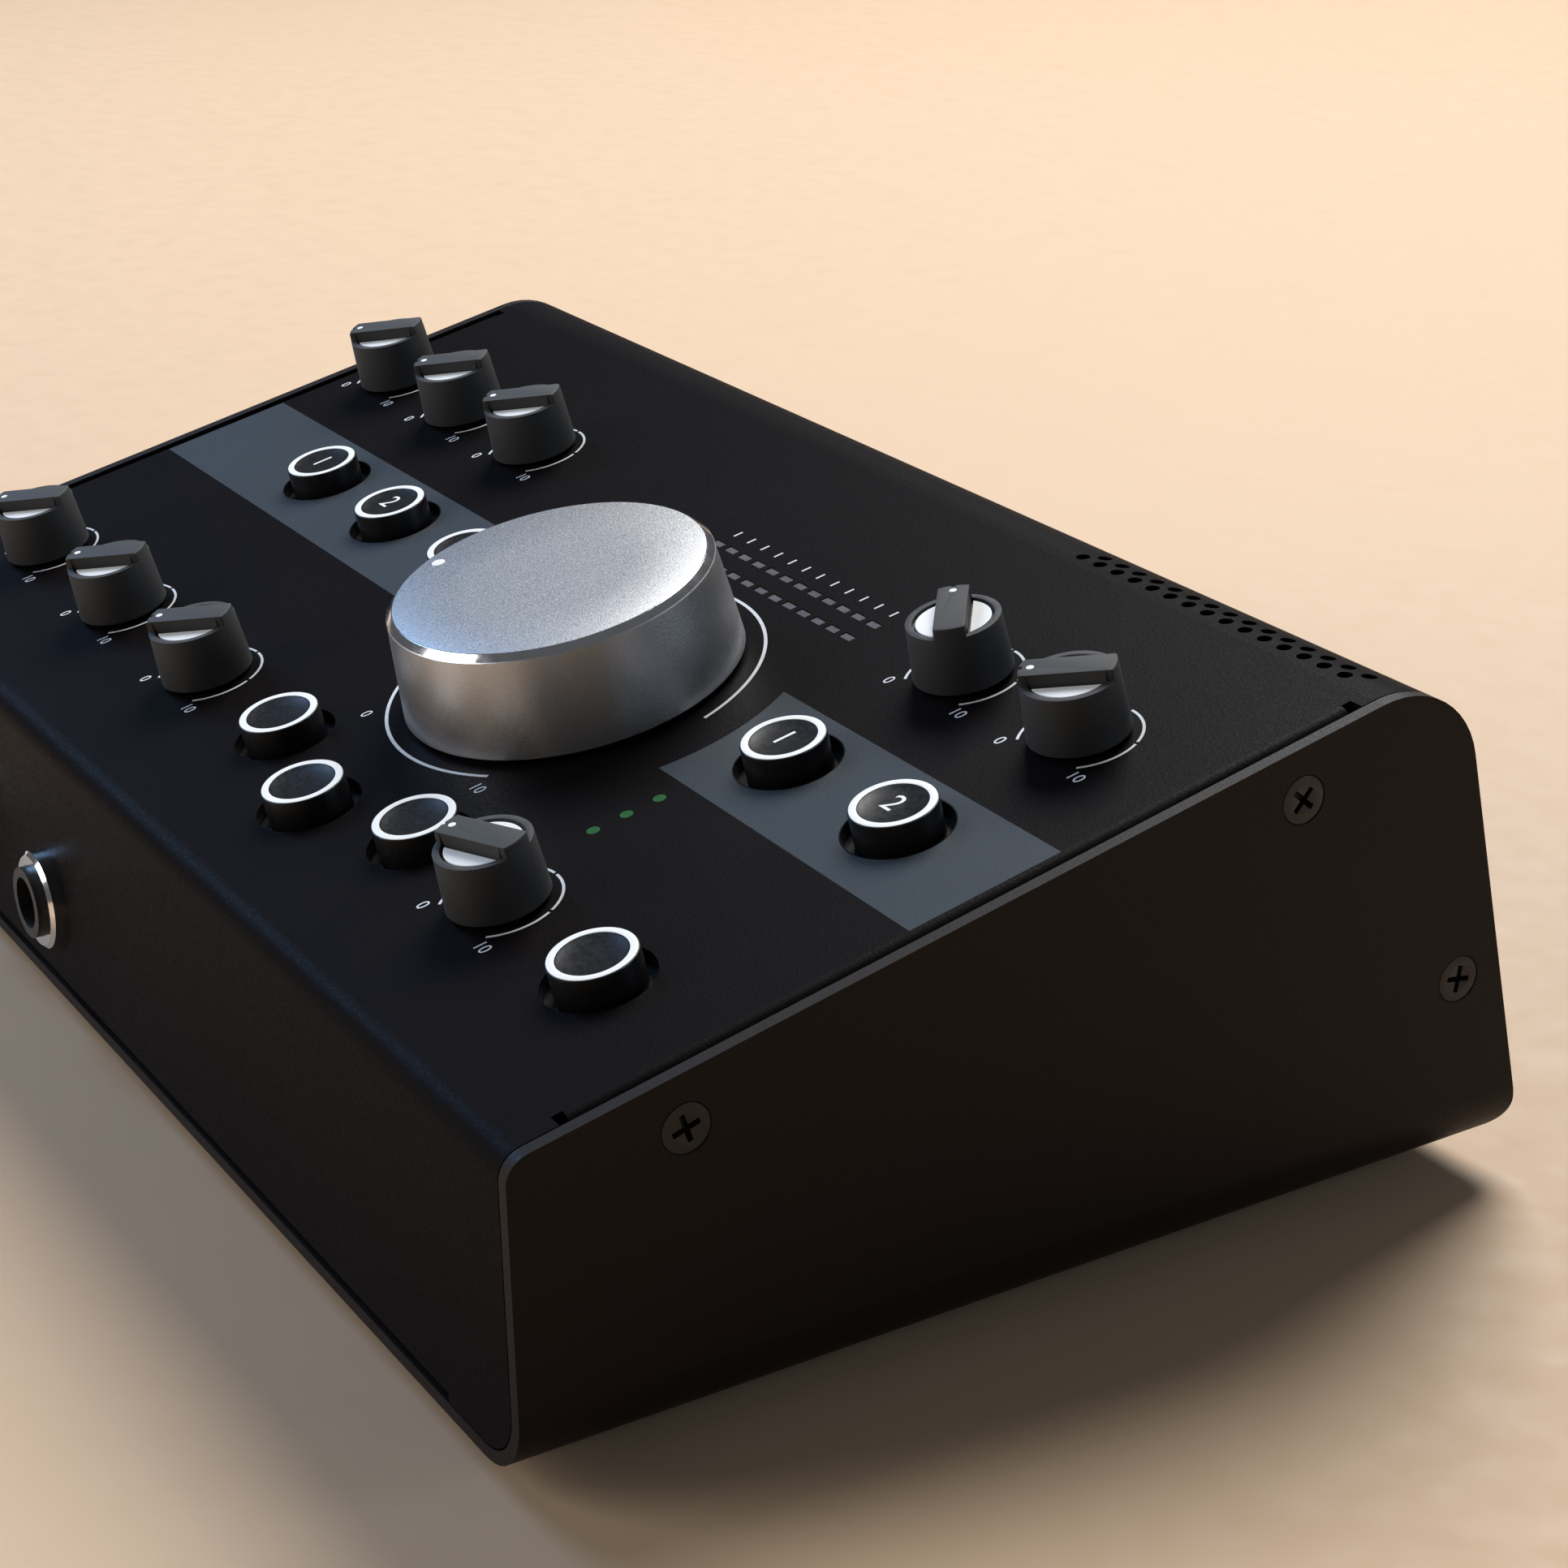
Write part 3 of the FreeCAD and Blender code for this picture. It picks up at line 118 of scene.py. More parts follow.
class PrintSizes(bpy.types.PropertyGroup):
    """Sizes of the printed bands, scales and numbers."""
    film: length("Film", "Thickness of the print", 0.03)
    line: length("Line", "Width of a scale line", 0.32)
    volume_scale: length("Volume scale", "Radius of the line round the volume knob", 22.5)
    volume_line: length("Volume line", "Width of that line", 0.42)
    volume_line_start: angle("Volume line start", "Angle at which that line starts", 238)
    volume_line_sweep: angle("Volume line sweep", "Angle that the line covers", 293)
    small_scale: length("Small scale", "Radius of the line round a small knob", 6.75)
    band_clear: length("Band clearance", "Grey bands end this far from the volume knob's axis", 28)
    band_half: length("Band half width", "Half the width of the grey bands along the deck", 9.2)
    band_centre: length("Band centre", "Middle of the bands up the deck from the volume knob", 4.6)
    band_end: length("Band end", "Outer end of the bands from the middle of the deck", 96.6)
    number: length("Number", "Height of a button's number", 3.0)
    scale_number: length("Scale number", "Height of a scale's number", 1.65)
    volume_number_gap: length("Volume number gap", "From the volume line to its numbers", 2.6)
    small_number_gap: length("Small number gap", "From a small line to its numbers", 1.9)
    tick_gap: length("Tick gap", "From the lamps to the ticks over them", 2.4)


class CaseSizes(bpy.types.PropertyGroup):
    """Sizes of the screws and the lamps' scale."""
    head: length("Screw head", "Radius of a countersunk head", 2.65)
    shank: length("Screw shank", "Radius of the shank", 1.5)
    shank_length: length("Shank length", "Length of the screw", 6)
    cross_width: length("Cross width", "Width of the cross recess", 0.62)
    cross_reach: length("Cross reach", "Length of the cross recess", 3.1)
    cross_depth: length("Cross depth", "Depth of the cross recess", 1.3)
    first_turn: angle("First turn", "Turn of the first screw's cross", 18)
    next_turn: angle("Next turn", "Further turn of each next cross", 31)
    lamp_reach: length("Lamp reach", "Points of a lamp nearer than this belong together", 2.4)
    tick_height: length("Tick height", "Height of a tick over the lamps", 1.3)
    tick_width: length("Tick width", "Width of a tick over the lamps", 0.3)


class Colours(bpy.types.PropertyGroup):
    """Base colours of the finishes."""
    deck: colour("Deck", "Powder coat of the cover", (0.0038, 0.0028, 0.0033))
    panel: colour("End panels", "Powder coat of the tray", (0.0066, 0.0037, 0.0032))
    band: colour("Band", "Grey print", (0.038, 0.048, 0.059))
    print: colour("Print", "White print", (0.62, 0.64, 0.67))
    ring: colour("Ring", "Translucent ring of a button", (0.86, 0.86, 0.84))
    knob: colour("Knob", "Moulded knobs", (0.0045, 0.0045, 0.0052))
    metal: colour("Aluminium", "Blasted aluminium", (0.70, 0.70, 0.715))
    lamp: colour("Lamp", "Lit status lamp", (0.02, 0.09, 0.03))
    floor: colour("Floor", "Plain floor", (0.60, 0.42, 0.27))


class CameraView(bpy.types.PropertyGroup):
    """Where the photograph was taken from."""
    place: FloatVectorProperty(name="Place", description="Camera", subtype="TRANSLATION",
                               default=(0.33196, -0.17085, 0.18218))
    turn: FloatVectorProperty(name="Turn", description="Camera", subtype="EULER",
                              default=(math.radians(67.279), math.radians(0.864), math.radians(58.661)))
    lens: FloatProperty(name="Lens", description="Focal length on a 36 mm wide frame", default=74.1)


# Small tools for modelling

def settings():
    return bpy.context.scene.controller


def deselect():
    if bpy.context.object and bpy.context.object.mode != "OBJECT":
        bpy.ops.object.mode_set(mode="OBJECT")
    bpy.ops.object.select_all(action="DESELECT")


def choose(piece, *others):
    deselect()
    for item in (piece, *others):
        item.select_set(True)
    bpy.context.view_layer.objects.active = piece


def named(name):
    """The active new object, with its name and with its place moved into its mesh."""
    bpy.ops.object.transform_apply(location=True, rotation=True, scale=True)
    piece = bpy.context.object
    piece.name = name
    piece.data.name = name
    return piece


def tidy_mesh(piece):
    choose(piece)
    bpy.ops.object.mode_set(mode="EDIT")
    bpy.ops.mesh.select_all(action="SELECT")
    bpy.ops.mesh.remove_doubles(threshold=1e-7)
    bpy.ops.mesh.normals_make_consistent(inside=False)
    bpy.ops.object.mode_set(mode="OBJECT")


def turned(name, outline, steps=96):
    """Solid of revolution: a disc extruded and resized through (radius, height) steps."""
    deselect()
    radius, height = outline[0]
    bpy.ops.mesh.primitive_circle_add(vertices=steps, radius=radius, fill_type="NGON",
                                      location=(0, 0, height))
    piece = named(name)
    bpy.ops.object.mode_set(mode="EDIT")
    bpy.ops.mesh.select_all(action="SELECT")
    for new_radius, new_height in outline[1:]:
        bpy.ops.mesh.extrude_region_move(TRANSFORM_OT_translate={"value": (0, 0, new_height - height)})
        scale = new_radius / radius
        bpy.ops.transform.resize(value=(scale, scale, 1), center_override=(0, 0, new_height))
        radius, height = new_radius, new_height
    bpy.ops.object.mode_set(mode="OBJECT")
    tidy_mesh(piece)
    return piece


def hoop(name, inner, outer, low, high, steps=96):
    """Flat ring: a circle extruded round its own section."""
    deselect()
    bpy.ops.mesh.primitive_circle_add(vertices=steps, radius=inner, location=(0, 0, low))
    piece = named(name)
    bpy.ops.object.mode_set(mode="EDIT")
    bpy.ops.mesh.select_all(action="SELECT")
    radius, height = inner, low
    for new_radius, new_height in ((outer, low), (outer, high), (inner, high), (inner, low)):
        bpy.ops.mesh.extrude_region_move(TRANSFORM_OT_translate={"value": (0, 0, new_height - height)})
        scale = new_radius / radius
        bpy.ops.transform.resize(value=(scale, scale, 1), center_override=(0, 0, new_height))
        radius, height = new_radius, new_height
    bpy.ops.object.mode_set(mode="OBJECT")
    tidy_mesh(piece)
    return piece


def block(name, centre, size):
    deselect()
    bpy.ops.mesh.primitive_cube_add(size=1, location=centre)
    bpy.context.object.scale = size
    return named(name)


def arc_line(name, radius, width, film, start, end, steps):
    """Printed arc: a small upright rectangle spun about the Z axis."""
    deselect()
    bpy.ops.mesh.primitive_plane_add(size=1, location=(radius, 0, film / 2), rotation=(math.pi / 2, 0, 0))
    bpy.context.object.scale = (width, film, 1)
    piece = named(name)
    bpy.ops.object.mode_set(mode="EDIT")
    bpy.ops.mesh.select_all(action="SELECT")
    bpy.ops.mesh.spin(steps=steps, angle=end - start, center=(0, 0, 0), axis=(0, 0, 1))
    bpy.ops.object.mode_set(mode="OBJECT")
    # A spin of less than half a turn that went to negative Y is mirrored; a longer one isn't
    reach = max(vertex.co.y for vertex in piece.data.vertices)
    if reach < 1e-6:
        piece.data.transform(Matrix.Scale(-1, 4, (0, 1, 0)))
    piece.data.transform(Matrix.Rotation(start, 4, "Z"))
    tidy_mesh(piece)
    return piece


def cut(piece, cutter, operation="DIFFERENCE"):
    choose(piece)
    step = piece.modifiers.new("cut", "BOOLEAN")
    step.operation = operation
    step.object = cutter
    step.solver = "EXACT"
    bpy.ops.object.modifier_apply(modifier=step.name)
    bpy.data.objects.remove(cutter, do_unlink=True)


def soften(piece, width, segments=2, limit=35):
    choose(piece)
    step = piece.modifiers.new("edges", "BEVEL")
    step.width = width
    step.segments = segments
    step.limit_method = "ANGLE"
    step.angle_limit = math.radians(limit)
    bpy.ops.object.modifier_apply(modifier=step.name)


def smooth(piece, degrees=32):
    choose(piece)
    bpy.ops.object.shade_smooth_by_angle(angle=math.radians(degrees))


def joined(first, *others):
    choose(first, *others)
    bpy.ops.object.join()
    return first


def slice_off(piece, point, normal):
    """Cut a piece by a plane and keep what lies behind the plane's normal."""
    choose(piece)
    bpy.ops.object.mode_set(mode="EDIT")
    bpy.ops.mesh.select_all(action="SELECT")
    bpy.ops.mesh.bisect(plane_co=point, plane_no=normal, use_fill=True, clear_outer=True)
    bpy.ops.object.mode_set(mode="OBJECT")
    tidy_mesh(piece)


def paint(piece, *materials):
    piece.data.materials.clear()
    for material in materials:
        piece.data.materials.append(material)


def copy_to(pattern, name, place):
    piece = pattern.copy()
    piece.data = pattern.data.copy()
    piece.name = name
    piece.data.name = name
    bpy.context.scene.collection.objects.link(piece)
    piece.data.transform(place)
    return piece


def drop(*patterns):
    for pattern in patterns:
        bpy.data.objects.remove(pattern, do_unlink=True)


def frame_at(point, turn=0.0):
    """Matrix that stands a piece on the deck at a point, turned about the deck's normal."""
    base = Matrix((ACROSS, UPHILL, NORMAL)).transposed().to_4x4()
    return Matrix.Translation(point) @ base @ Matrix.Rotation(turn, 4, "Z")


def on_deck(x, up):
    """Point on the deck: x from the middle, up the slope from the volume knob."""
    return VOLUME_AT + ACROSS * (x - VOLUME_AT.x) + UPHILL * up


def cap_centre(node):
    """Point on the deck under the middle of a button's top face."""
    heights = [NORMAL.dot(vertex.co) for vertex in CAD_MESHES[node].vertices]
    top = max(heights)
    face = [vertex.co for vertex, high in zip(CAD_MESHES[node].vertices, heights) if high > top - 1e-5]
    along = [UPHILL.dot(point) for point in face]
    across = [point.x for point in face]
    middle = ACROSS * (max(across) + min(across)) / 2 + UPHILL * (max(along) + min(along)) / 2
    return middle + NORMAL * NORMAL.dot(VOLUME_AT)


def clusters(points, reach):
    """Centres of the groups in which points lie close together."""
    groups = []
    for point in points:
        for group in groups:
            if (group[0] - point).length < reach:
                group.append(point)
                break
        else:
            groups.append([point])
    for group in groups:
        low = Vector([min(point[i] for point in group) for i in range(3)])
        high = Vector([max(point[i] for point in group) for i in range(3)])
        yield (low + high) / 2


def number_mesh(name, words, height, film):
    """A number as a thin solid, centred on the Z axis."""
    deselect()
    bpy.ops.object.text_add(location=(0, 0, 0))
    text = bpy.context.object
    text.data.body = words
    text.data.size = height * 1.35
    text.data.align_x = "CENTER"
    text.data.align_y = "CENTER"
    text.data.extrude = film / 2
    text.data.resolution_u = 3
    bpy.ops.object.convert(target="MESH")
    piece = named(name)
    piece.data.transform(Matrix.Translation((0, 0, film / 2)))
    tidy_mesh(piece)
    return piece


# Finishes

def grain_group():
    """Fine grain: colour, roughness and height that vary over a surface."""
    name = "Fine Grain"
    if name in bpy.data.node_groups:
        return bpy.data.node_groups[name]
    group = bpy.data.node_groups.new(name, "ShaderNodeTree")
    inputs = (("Colour", "NodeSocketColor"), ("Worn Colour", "NodeSocketColor"), ("Scale", "NodeSocketFloat"),
              ("Smooth", "NodeSocketFloat"), ("Rough", "NodeSocketFloat"), ("Mottle", "NodeSocketFloat"))
    for socket, kind in inputs:
        group.interface.new_socket(name=socket, in_out="INPUT", socket_type=kind)
    for socket, kind in (("Colour", "NodeSocketColor"), ("Roughness", "NodeSocketFloat"),
                         ("Height", "NodeSocketFloat")):
        group.interface.new_socket(name=socket, in_out="OUTPUT", socket_type=kind)
    nodes, links = group.nodes, group.links
    given, out = nodes.new("NodeGroupInput"), nodes.new("NodeGroupOutput")
    place = nodes.new("ShaderNodeTexCoord")
    fine, broad = nodes.new("ShaderNodeTexNoise"), nodes.new("ShaderNodeTexNoise")
    fine.inputs["Detail"].default_value = 3
    broad.inputs["Detail"].default_value = 4
    broad.inputs["Scale"].default_value = 55
    for noise in (fine, broad):
        links.new(place.outputs["Object"], noise.inputs["Vector"])
    links.new(given.outputs["Scale"], fine.inputs["Scale"])
    spots = nodes.new("ShaderNodeMapRange")
    spots.inputs["From Min"].default_value = 0.42
    spots.inputs["From Max"].default_value = 0.78
    links.new(broad.outputs["Fac"], spots.inputs["Value"])
    weight = nodes.new("ShaderNodeMath")
    weight.operation = "MULTIPLY"
    links.new(spots.outputs["Result"], weight.inputs[0])
    links.new(given.outputs["Mottle"], weight.inputs[1])
    tint = nodes.new("ShaderNodeMix")
    tint.data_type = "RGBA"
    links.new(weight.outputs[0], tint.inputs["Factor"])
    links.new(given.outputs["Colour"], tint.inputs["A"])
    links.new(given.outputs["Worn Colour"], tint.inputs["B"])
    sheen = nodes.new("ShaderNodeMapRange")
    links.new(fine.outputs["Fac"], sheen.inputs["Value"])
    sheen.inputs["From Min"].default_value = 0.3
    sheen.inputs["From Max"].default_value = 0.7
    links.new(given.outputs["Smooth"], sheen.inputs["To Min"])
    links.new(given.outputs["Rough"], sheen.inputs["To Max"])
    links.new(tint.outputs["Result"], out.inputs["Colour"])
    links.new(sheen.outputs["Result"], out.inputs["Roughness"])
    links.new(fine.outputs["Fac"], out.inputs["Height"])
    return group


def finish(name, base, worn, scale, smooth_rough, bump, mottle=0.5, metallic=0.0, specular=0.5, glow=None):
    """Material with fine grain, uneven gloss and a slight relief."""
    material = bpy.data.materials.new(name)
    material.use_nodes = True
    nodes, links = material.node_tree.nodes, material.node_tree.links
    shader = nodes["Principled BSDF"]
    shader.inputs["Metallic"].default_value = metallic
    shader.inputs["Specular IOR Level"].default_value = specular
    grain = nodes.new("ShaderNodeGroup")
    grain.node_tree = grain_group()
    grain.inputs["Colour"].default_value = (*base, 1)
    grain.inputs["Worn Colour"].default_value = (*worn, 1)
    grain.inputs["Scale"].default_value = scale
    grain.inputs["Smooth"].default_value = smooth_rough[0]
    grain.inputs["Rough"].default_value = smooth_rough[1]
    grain.inputs["Mottle"].default_value = mottle
    relief = nodes.new("ShaderNodeBump")
    relief.inputs["Strength"].default_value = bump
    relief.inputs["Distance"].default_value = 0.05 * MM
    links.new(grain.outputs["Colour"], shader.inputs["Base Color"])
    links.new(grain.outputs["Roughness"], shader.inputs["Roughness"])
    links.new(grain.outputs["Height"], relief.inputs["Height"])
    links.new(relief.outputs["Normal"], shader.inputs["Normal"])
    if glow:
        shader.inputs["Emission Color"].default_value = (*glow, 1)
        shader.inputs["Emission Strength"].default_value = 1.0
    return material


def shade(base, factor):
    return tuple(min(1.0, part * factor) for part in base)


def make_finishes():
    tints = settings().colours
    deck, panel, knob = tuple(tints.deck), tuple(tints.panel), tuple(tints.knob)
    metal, white = tuple(tints.metal), tuple(tints.print)
    steel, brass = (0.5, 0.5, 0.5), (0.6, 0.42, 0.18)
    # Each row: base and worn colour, grain scale, smoothest and roughest, relief
    return {
        "deck_coat": finish("deck_coat", deck, shade(deck, 1.5), 3200, (0.40, 0.60), 0.7, specular=0.03),
        "panel_coat": finish("panel_coat", panel, shade(panel, 1.4), 3600, (0.42, 0.58), 0.45, specular=0.16),
        "grey_print": finish("grey_print", tuple(tints.band), shade(tints.band, 1.15), 3200,
                             (0.38, 0.56), 0.4, specular=0.08),
        "white_print": finish("white_print", white, shade(white, 0.85), 3200, (0.4, 0.6), 0.4),
        "ring_plastic": finish("ring_plastic", tuple(tints.ring), shade(tints.ring, 0.93), 900,
                               (0.28, 0.4), 0.1),
        "knob_plastic": finish("knob_plastic", knob, shade(knob, 1.8), 1500, (0.22, 0.34), 0.12,
                               specular=0.3),
        "cap_plastic": finish("cap_plastic", shade(knob, 1.1), shade(knob, 1.7), 1700, (0.3, 0.42), 0.15,
                              specular=0.2),
        "blasted_metal": finish("blasted_metal", metal, shade(metal, 0.93), 5200, (0.3, 0.42), 0.3,
                                metallic=1.0, mottle=0.35),
        "bright_metal": finish("bright_metal", shade(metal, 1.35), shade(metal, 1.2), 700, (0.09, 0.16), 0.05,
                               metallic=1.0),
        "black_screw": finish("black_screw", (0.022, 0.021, 0.022), (0.07, 0.065, 0.06), 2300,
                              (0.3, 0.5), 0.3, metallic=0.6),
        "steel": finish("steel", steel, shade(steel, 0.8), 1200, (0.25, 0.4), 0.15, metallic=1.0),
        "plated": finish("plated", shade(steel, 1.1), shade(steel, 0.8), 900,
                         (0.22, 0.38), 0.12, metallic=1.0),
        "brass": finish("brass", brass, shade(brass, 0.75), 1100, (0.22, 0.36), 0.12, metallic=1.0),
        "rubber": finish("rubber", (0.016, 0.016, 0.016), (0.03, 0.03, 0.028), 1800,
                         (0.7, 0.85), 0.5),
        "board": finish("board", (0.01, 0.09, 0.035), (0.012, 0.06, 0.028), 1100, (0.3, 0.45), 0.2),
        "socket_plastic": finish("socket_plastic", (0.012, 0.012, 0.013), (0.03, 0.03, 0.03), 1500,
                                 (0.35, 0.5), 0.2),
        "lit_lamp": finish("lit_lamp", tuple(tints.lamp), shade(tints.lamp, 1.2), 900, (0.15, 0.25), 0.05,
                           glow=shade(tints.lamp, 0.2)),
        "dark_lamp": finish("dark_lamp", (0.10, 0.095, 0.105), (0.13, 0.12, 0.13), 900, (0.25, 0.35), 0.05),
    }


FINISH_OF_SLOT = {
    "black_powder_coat": "panel_coat", "black_powder_coat_top": "deck_coat", "blackened_steel": "black_screw",
    "rubber": "rubber", "circuit_board": "board", "steel": "steel", "plated_housing": "plated",
    "black_plastic": "socket_plastic", "lamp": "lit_lamp", "lamp_window": "dark_lamp",
    "bright_nut": "bright_metal", "blasted_aluminium": "blasted_metal", "brass": "brass",
    "knob_plastic": "knob_plastic", "button_plastic": "cap_plastic", "socket_plastic": "socket_plastic",
}


def finish_named(name):
    return bpy.data.materials[name]


class CONTROLLER_OT_finishes(bpy.types.Operator):
    """Make every finish and give the housing, sockets and inner pieces theirs"""
    bl_idname = "controller.finishes"
    bl_label = "Finishes"

    def execute(self, context):
        finishes = make_finishes()
        for row in frame["record"]["subparts"]:
            node = frame["nodes"][row["node"]]
            material = finishes[FINISH_OF_SLOT[row["material_slot"]]]
            if not node.material_slots:
                raise RuntimeError("%s has no material slot" % row["node"])
            for slot in node.material_slots:
                slot.material = material
        return {"FINISHED"}


class CONTROLLER_OT_volume_cap(bpy.types.Operator):
    """Turn the volume knob: blasted body, polished bevel and white dot"""
    bl_idname = "controller.volume_cap"
    bl_label = "Volume Knob"

    def execute(self, context):
        size = settings().knobs
        base, top, high, bevel = size.volume_base, size.volume_top, size.volume_height, size.volume_bevel
        gap, round_edge = size.skirt_gap, 0.12 * MM
        cap = turned("volume_cap", [
            (base - 2.6 * MM, gap + 1.0 * MM), (base - 1.2 * MM, gap + 1.0 * MM), (base - 1.2 * MM, gap),
            (base - 0.25 * MM, gap), (base, gap + 0.25 * MM),
            (top + 0.08 * MM, high - bevel - round_edge), (top, high - bevel),
            (top - bevel, high - round_edge / 4), (top - bevel - round_edge, high),
            (top * 0.5, high), (top * 0.1, high)], steps=192)
        paint(cap, finish_named("blasted_metal"), finish_named("bright_metal"), finish_named("white_print"))
        for face in cap.data.polygons:
            reach = math.hypot(face.center.x, face.center.y)
            if face.center.z > high - bevel - round_edge / 2 and reach > top - bevel - round_edge:
                face.material_index = 1
        smooth(cap, 28)
        dot = turned("volume_dot", [(size.volume_dot, -0.1 * MM), (size.volume_dot, 0.03 * MM),
                                    (size.volume_dot * 0.8, 0.06 * MM)], steps=32)
        dot.data.transform(Matrix.Translation((top - 2.6 * MM, 0, high)))
        paint(dot, finish_named("ring_plastic"))
        pointer = size.volume_start - math.radians(JOINTS["volume_turn"]["range_deg"][1])
        cap = joined(cap, dot)
        cap.data.transform(frame_at(VOLUME_AT, pointer))
        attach(cap, "volume_control")
        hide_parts("volume_knob")
        return {"FINISHED"}


class CONTROLLER_OT_small_knobs(bpy.types.Operator):
    """Model one bar knob with its white inserts and copy it to every small control"""
    bl_idname = "controller.small_knobs"
    bl_label = "Small Knobs"

    def execute(self, context):
        size = settings().knobs
        base, top, high, gap = size.small_base, size.small_top, size.small_height, size.skirt_gap
        shoulder, bar = high - size.grip_rise, size.grip_width / 2
        floor = shoulder - size.recess
        edge = 0.22 * MM
        knob = turned("knob_pattern", [
            (base - 0.9 * MM, gap + 0.6 * MM), (base - 0.7 * MM, gap), (base - 0.12 * MM, gap),
            (base, gap + 0.12 * MM), (top, high - edge), (top - edge * 0.35, high - edge * 0.3),
            (top - edge, high)], steps=72)
        for side in (1, -1):
            step = block("step", (0, side * (bar + base), shoulder + 5 * MM), (4 * base, 2 * base, 10 * MM))
            cut(knob, step)
            well = turned("well", [(size.recess_reach, floor), (size.recess_reach, high + 2 * MM)], steps=72)
            slice_off(well, (0, side * bar, 0), (0, -side, 0))
            cut(knob, well)
        notch = block("notch", (top, 0, high), (1.0 * MM, 0.55 * MM, 0.5 * MM))
        cut(knob, notch)
        soften(knob, 0.12 * MM)
        smooth(knob)
        paint(knob, finish_named("knob_plastic"), finish_named("ring_plastic"))
        inserts = []
        for side in (1, -1):
            reach = size.recess_reach - 0.35 * MM
            insert = turned("insert", [(reach, floor - 0.1 * MM), (reach, shoulder - 0.15 * MM)], steps=72)
            slice_off(insert, (0, side * (bar + 0.25 * MM), 0), (0, -side, 0))
            soften(insert, 0.1 * MM)
            paint(insert, finish_named("ring_plastic"))
            inserts.append(insert)
        dot = turned("dot", [(0.42 * MM, high - 0.2 * MM), (0.42 * MM, high + 0.02 * MM),
                             (0.3 * MM, high + 0.04 * MM)], steps=20)
        dot.data.transform(Matrix.Translation((top - 1.35 * MM, 0, 0)))
        paint(dot, finish_named("ring_plastic"))
        knob = joined(knob, dot, *inserts)
        for name in SMALL_KNOBS:
            joint = JOINTS[name + "_turn"]
            pointer = size.sweep_start - math.radians(joint["range_deg"][1])
            piece = copy_to(knob, name + "_cap", frame_at(Vector(joint["pos_m"]), pointer))
            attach(piece, name + "_control")
            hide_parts(name + "_knob")
        drop(knob)
        return {"FINISHED"}


class CONTROLLER_OT_buttons(bpy.types.Operator):
    """Model one ringed push button and copy it to every button, with plain numbers"""
    bl_idname = "controller.buttons"
    bl_label = "Buttons"

    def execute(self, context):
        size, film = settings().buttons, settings().prints.film
        low = -size.flange_top - size.flange_depth
        cap = turned("button_pattern", [
            (size.stem, -size.stem_reach), (size.stem, low), (size.flange, low),
            (size.flange, -size.flange_top),
            (size.radius, -size.flange_top), (size.radius, size.rise - size.edge),
            (size.radius - size.edge * 0.3, size.rise - size.edge * 0.3),
            (size.radius - size.edge, size.rise), (size.ring_inner - 0.25 * MM, size.rise),
            (size.ring_inner - 0.4 * MM, size.rise - size.dish), (size.radius * 0.2, size.rise - size.dish)])
        smooth(cap, 40)
        paint(cap, finish_named("cap_plastic"), finish_named("ring_plastic"))
        ring = hoop("ring", size.ring_inner, size.ring_outer - size.edge * 0.5,
                    size.rise - size.ring_depth, size.rise + 0.05 * MM)
        soften(ring, 0.04 * MM)
        smooth(ring)
        paint(ring, finish_named("ring_plastic"))
        cap = joined(cap, ring)
        for name, mark in BUTTON_MARKS.items():
            place = frame_at(cap_centre(name + "_button"))
            piece = copy_to(cap, name + "_cap", place)
            if mark:
                label = number_mesh("mark", mark, settings().prints.number, film)
                paint(label, finish_named("ring_plastic"))
                label.data.transform(place @ Matrix.Translation((0, 0, size.rise - size.dish)))
                piece = joined(piece, label)
            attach(piece, name + "_key")
            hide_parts(name + "_button")
        drop(cap)
        return {"FINISHED"}


class CONTROLLER_OT_bands(bpy.types.Operator):
    """Print the two grey bands, cut away round the volume knob and the buttons"""
    bl_idname = "controller.bands"
    bl_label = "Grey Bands"

    def execute(self, context):
        size, hole = settings().prints, settings().buttons.hole + 0.15 * MM
        inside = {1: ("monitor_a", "monitor_b"), -1: ("source_1", "source_2", "source_3")}
        for side, names in inside.items():
            inner = VOLUME_AT.x
            outer = size.band_end * side
            wide = abs(outer - inner)
            sheet = block("band", ((outer - inner) / 2, size.band_centre, 0),
                          (wide, size.band_half * 2, size.film))
            away = turned("away", [(size.band_clear, -MM), (size.band_clear, MM)], steps=160)
            cut(sheet, away)
            for name in names:
                spot = frame_at(VOLUME_AT).inverted() @ cap_centre(name + "_button")
                ring = turned("hole", [(hole, -MM), (hole, MM)], steps=72)
                ring.data.transform(Matrix.Translation((spot.x, spot.y, 0)))
                cut(sheet, ring)
            tidy_mesh(sheet)
            paint(sheet, finish_named("grey_print"))
            sheet.name = "monitor_band" if side > 0 else "source_band"
            sheet.data.transform(frame_at(VOLUME_AT))
            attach(sheet, "housing")
        return {"FINISHED"}


